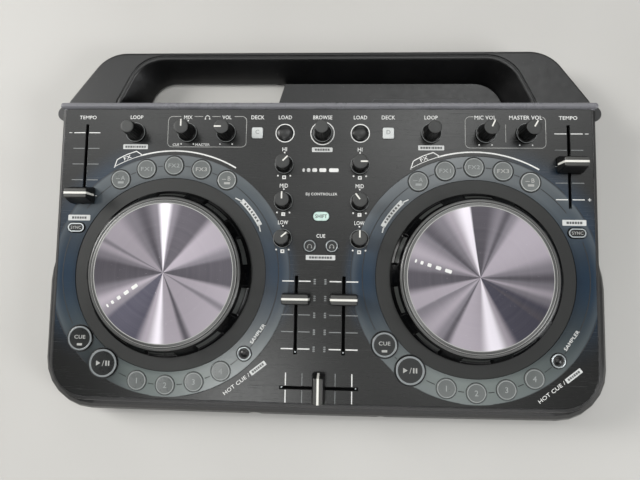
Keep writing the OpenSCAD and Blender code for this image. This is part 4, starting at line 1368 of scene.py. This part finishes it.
# curved tag inside the ring: start and end in degrees, then its two slanted end lines,
# each from one (radius, degrees) to another
CURVED_TAG = {
    "left": (43.5, 61.2, ((68.2, 39.9), (69.6, 44.1)), ((69.4, 60.6), (68.3, 64.6))),
    "right": (-61.2, -43.5, ((68.3, -40.1), (69.6, -44.1)), ((69.4, -60.6), (68.3, -64.4)))}
# keys the joint lines stop short of: (degrees on the key circle, clearance)
KEY_GAPS = ([(a, 7.4) for a in (-30, -15, 0, 15, 30)] + [(a, 7.3) for a in (195, 180, 165, 150)]
            + [(135, 5.6), (215, 10.8), (233, 9.6)])


def is_clear(spot, axis):
    """Whether a joint line may pass: on the sheet and off slots, sync buttons and keys."""
    x, y = spot
    if abs(x) >= 181 or y <= -114:
        return False
    for _, side in SIDES:
        low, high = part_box("sync_button_" + side)
        if (low.x * 1000 - 0.7 < x < high.x * 1000 + 0.7
                and low.y * 1000 - 0.7 < y < high.y * 1000 + 0.7):
            return False
        for part in ("tempo_cap_", "channel_cap_"):
            if abs(x - centre(part + side).x) < 2.2 and y > -86:
                return False
    for degrees, clearance in KEY_GAPS:
        key_x, key_y = polar(axis.x, axis.y, KEY_CIRCLE_R, degrees)
        if math.hypot(x - key_x, y - key_y) < clearance:
            return False
    return True


def joint_line(axis, radius, width):
    runs = [[]]
    for i in range(241):
        spot = polar(axis.x, axis.y, radius, 1.5 * i - 180)
        if is_clear(spot, axis):
            runs[-1].append(spot)
        else:
            runs.append([])
    for run in runs:
        if len(run) > 1:
            dark.line(run, width)


def deck_legend(side):
    axis = JOG_AXIS[side]
    x, y = axis.x, axis.y
    white.arc(x, y, 84.8, 85.75, -16.5, 30.6, 48)
    white.line([polar(x, y, *point) for point in FX_TAG], 0.6)
    white.text("FX", *polar(x, y, 87.1, -22.6), 2.5, 5.4, turn=22.6)
    white.arc(x, y, 84.95, 85.35, -30, -16.5, 12)
    start, end, *end_lines = CURVED_TAG[side]
    tags.arc(x, y, 68.3, 71.5, start, end, 24)
    for i in range(7):
        middle = start + (end - start) * (i + 1.5) / 9
        tag_marks.arc(x, y, 69.2, 70.7, middle - 0.5 - 0.12 * (i % 3), middle + 0.5, 4)
    for ends in end_lines:
        tags.line([polar(x, y, *point) for point in ends], 0.8)
    joint_line(axis, KEY_CIRCLE_R, 0.55)
    joint_line(axis, RING_OUT, 0.5)
    white.text("SAMPLER", x + 61.7, y - 39.6, 2.3, 15.5, turn=55)
    white.text("HOT CUE /", x + 48.3, y - 73.0, 2.5, 21.2, turn=38, bold=0.04)
    tag(x + 62.4, y - 62.2, 12.4, 3.3, (1.3, 1.2, 1.0, 1.3, 1.2, 1.3), turn=38, corner=0.4)


for _, side in SIDES:
    deck_legend(side)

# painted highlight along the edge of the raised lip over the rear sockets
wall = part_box("handle_frame")[0].y * 1000
lip = Marks(4.6, 5.06)
lip.line([(33.6, wall + 1.5), (33.9, wall + 10.1), (36.9, wall + 13.8), (102.6, wall + 13.8),
          (106.8, wall + 10.1), (107.6, wall + 1.5)], 0.4)
lip.done("shelf_lip_edge", "ink_edge")
white.done("legend_white", "ink_white")
grey.done("legend_grey", "ink_grey")
dark.done("legend_dark", "ink_dark")
tags.done("legend_tags", "ink_tag")
tag_marks.done("legend_tag_marks", "ink_tagtext")
rivets.done("slot_rivets", "silver")


# ------------------------------------------------------------------ floor (metres)
def build_floor():
    cells, size, z = 40, 6, -0.0002
    verts = [((i / cells - 0.5) * size, (j / cells - 0.5) * size, z)
             for j in range(cells + 1) for i in range(cells + 1)]
    corners = [j * (cells + 1) + i for j in range(cells) for i in range(cells)]
    mesh = bpy.data.meshes.new("floor")
    mesh.from_pydata(verts, [], [(a, a + 1, a + cells + 2, a + cells + 1) for a in corners])
    floor = bpy.data.objects.new("floor", mesh)
    bpy.context.scene.collection.objects.link(floor)
    tree = new_material("floor")
    patches = tree.ramp(tree.noise(tree.place(), scale=3, detail=3), 0.3, 0.7)
    tree.shade(Base_Color=tree.mix(patches, (0.49, 0.48, 0.46), (0.55, 0.54, 0.52)),
               Roughness=0.7, Specular_IOR_Level=0.2)
    mesh.materials.append(MATERIALS["floor"])


build_floor()

# ------------------------------------------------------------------ world
# soft glows in the sky, placed by direction x/z and y/z: (strength, x/z, y/z, widths of both)
SKY_GLOWS = (
    (1.7, -0.031, 0.147, 0.14, 0.10), (2.6, 0.198, -0.175, 0.14, 0.13),
    (4.4, -0.476, 0.806, 0.27, 0.56), (12.0, -0.205, -0.27, 0.09, 0.14),
    (16.0, 0.314, 1.134, 0.42, 0.57), (4.5, 0.172, 0.31, 0.10, 0.10),
    (2.2, -0.40, 0.36, 0.10, 0.08), (1.6, -0.13, -0.10, 0.05, 0.12),
    (-2.2, -0.045, -0.03, 0.05, 0.11))


def build_world():
    world = bpy.data.worlds.new("world")
    bpy.context.scene.world = world
    world.use_nodes = True
    tree = Tree(world.node_tree)
    background = tree.nodes["Background"]
    direction = tree.split(tree.node("TexCoord").outputs["Generated"])
    height = tree.math("MAXIMUM", direction[2], 0.05)
    u = tree.math("DIVIDE", direction[0], height)
    v = tree.math("DIVIDE", direction[1], height)

    def squared_offset(value, middle, width):
        return tree.math("POWER", tree.math("DIVIDE", tree.sub(value, middle), width), 2.0)

    glow = 0.0
    for strength, glow_u, glow_v, width_u, width_v in SKY_GLOWS:
        distance = tree.add(squared_offset(u, glow_u, width_u),
                            squared_offset(v, glow_v, width_v))
        lobe = tree.math("EXPONENT", tree.mul(distance, -1.0))
        glow = tree.add(glow, tree.mul(lobe, strength))
    glow = tree.math("MINIMUM", tree.math("MAXIMUM", glow, 0.0), 9.0)
    # dim towards the rear and the horizon, over a faint even light
    glow = tree.mul(glow, tree.ramp(v, 0.46, 0.64, 1.0, 0.05, smooth=True))
    glow = tree.mul(glow, tree.ramp(direction[2], 0.0, 0.4))
    glow = tree.add(glow, tree.ramp(direction[2], 0.0, 0.8, 0.10, 0.02))
    colour = tree.node("CombineXYZ")
    for i, share in enumerate((1.0, 1.01, 1.0)):
        tree.feed(colour.inputs[i], tree.mul(glow, share))
    tree.feed(background.inputs[0], colour.outputs[0])
    background.inputs[1].default_value = 1.0


build_world()


# ------------------------------------------------------------------ lights and camera (metres)
def area_light(name, place, target, size, power, colour=(1, 1, 1), size_y=None):
    light = bpy.data.lights.new(name, "AREA")
    light.energy = power
    light.size = size
    light.color = colour
    if size_y:
        light.shape = "RECTANGLE"
        light.size_y = size_y
    ob = bpy.data.objects.new(name, light)
    bpy.context.scene.collection.objects.link(ob)
    ob.location = place
    ob.rotation_euler = (Vector(target) - Vector(place)).to_track_quat("-Z", "Y").to_euler()


area_light("key_light", (-1.7, 0.6, 0.95), (0, 0, 0), size=0.7, power=36,
           colour=(1, 0.99, 0.97))
area_light("fill_light", (1.6, -0.7, 0.95), (0, 0, 0), size=0.7, power=18,
           colour=(0.98, 0.99, 1))
area_light("rim_light", (0.0, 1.5, 0.7), (0, 0.05, 0), size=1.4, power=3, size_y=0.5)
area_light("front_light", (0.0, -1.5, 0.32), (0, -0.1, 0.01), size=1.6, power=5, size_y=0.3)

lens = bpy.data.cameras.new("camera")
camera = bpy.data.objects.new("camera", lens)
bpy.context.scene.collection.objects.link(camera)
rotation = Matrix(((0.998878, -0.012563, 0.045657),
                   (0.016480, 0.996119, -0.086459),
                   (-0.044394, 0.087114, 0.995209)))
camera.matrix_world = Matrix.Translation((0.014597, -0.036615, 0.357806)) @ rotation.to_4x4()
lens.sensor_width = 36
lens.lens = 27.475
lens.clip_start = 0.01
bpy.context.scene.camera = camera
bpy.context.scene.view_settings.view_transform = "Standard"
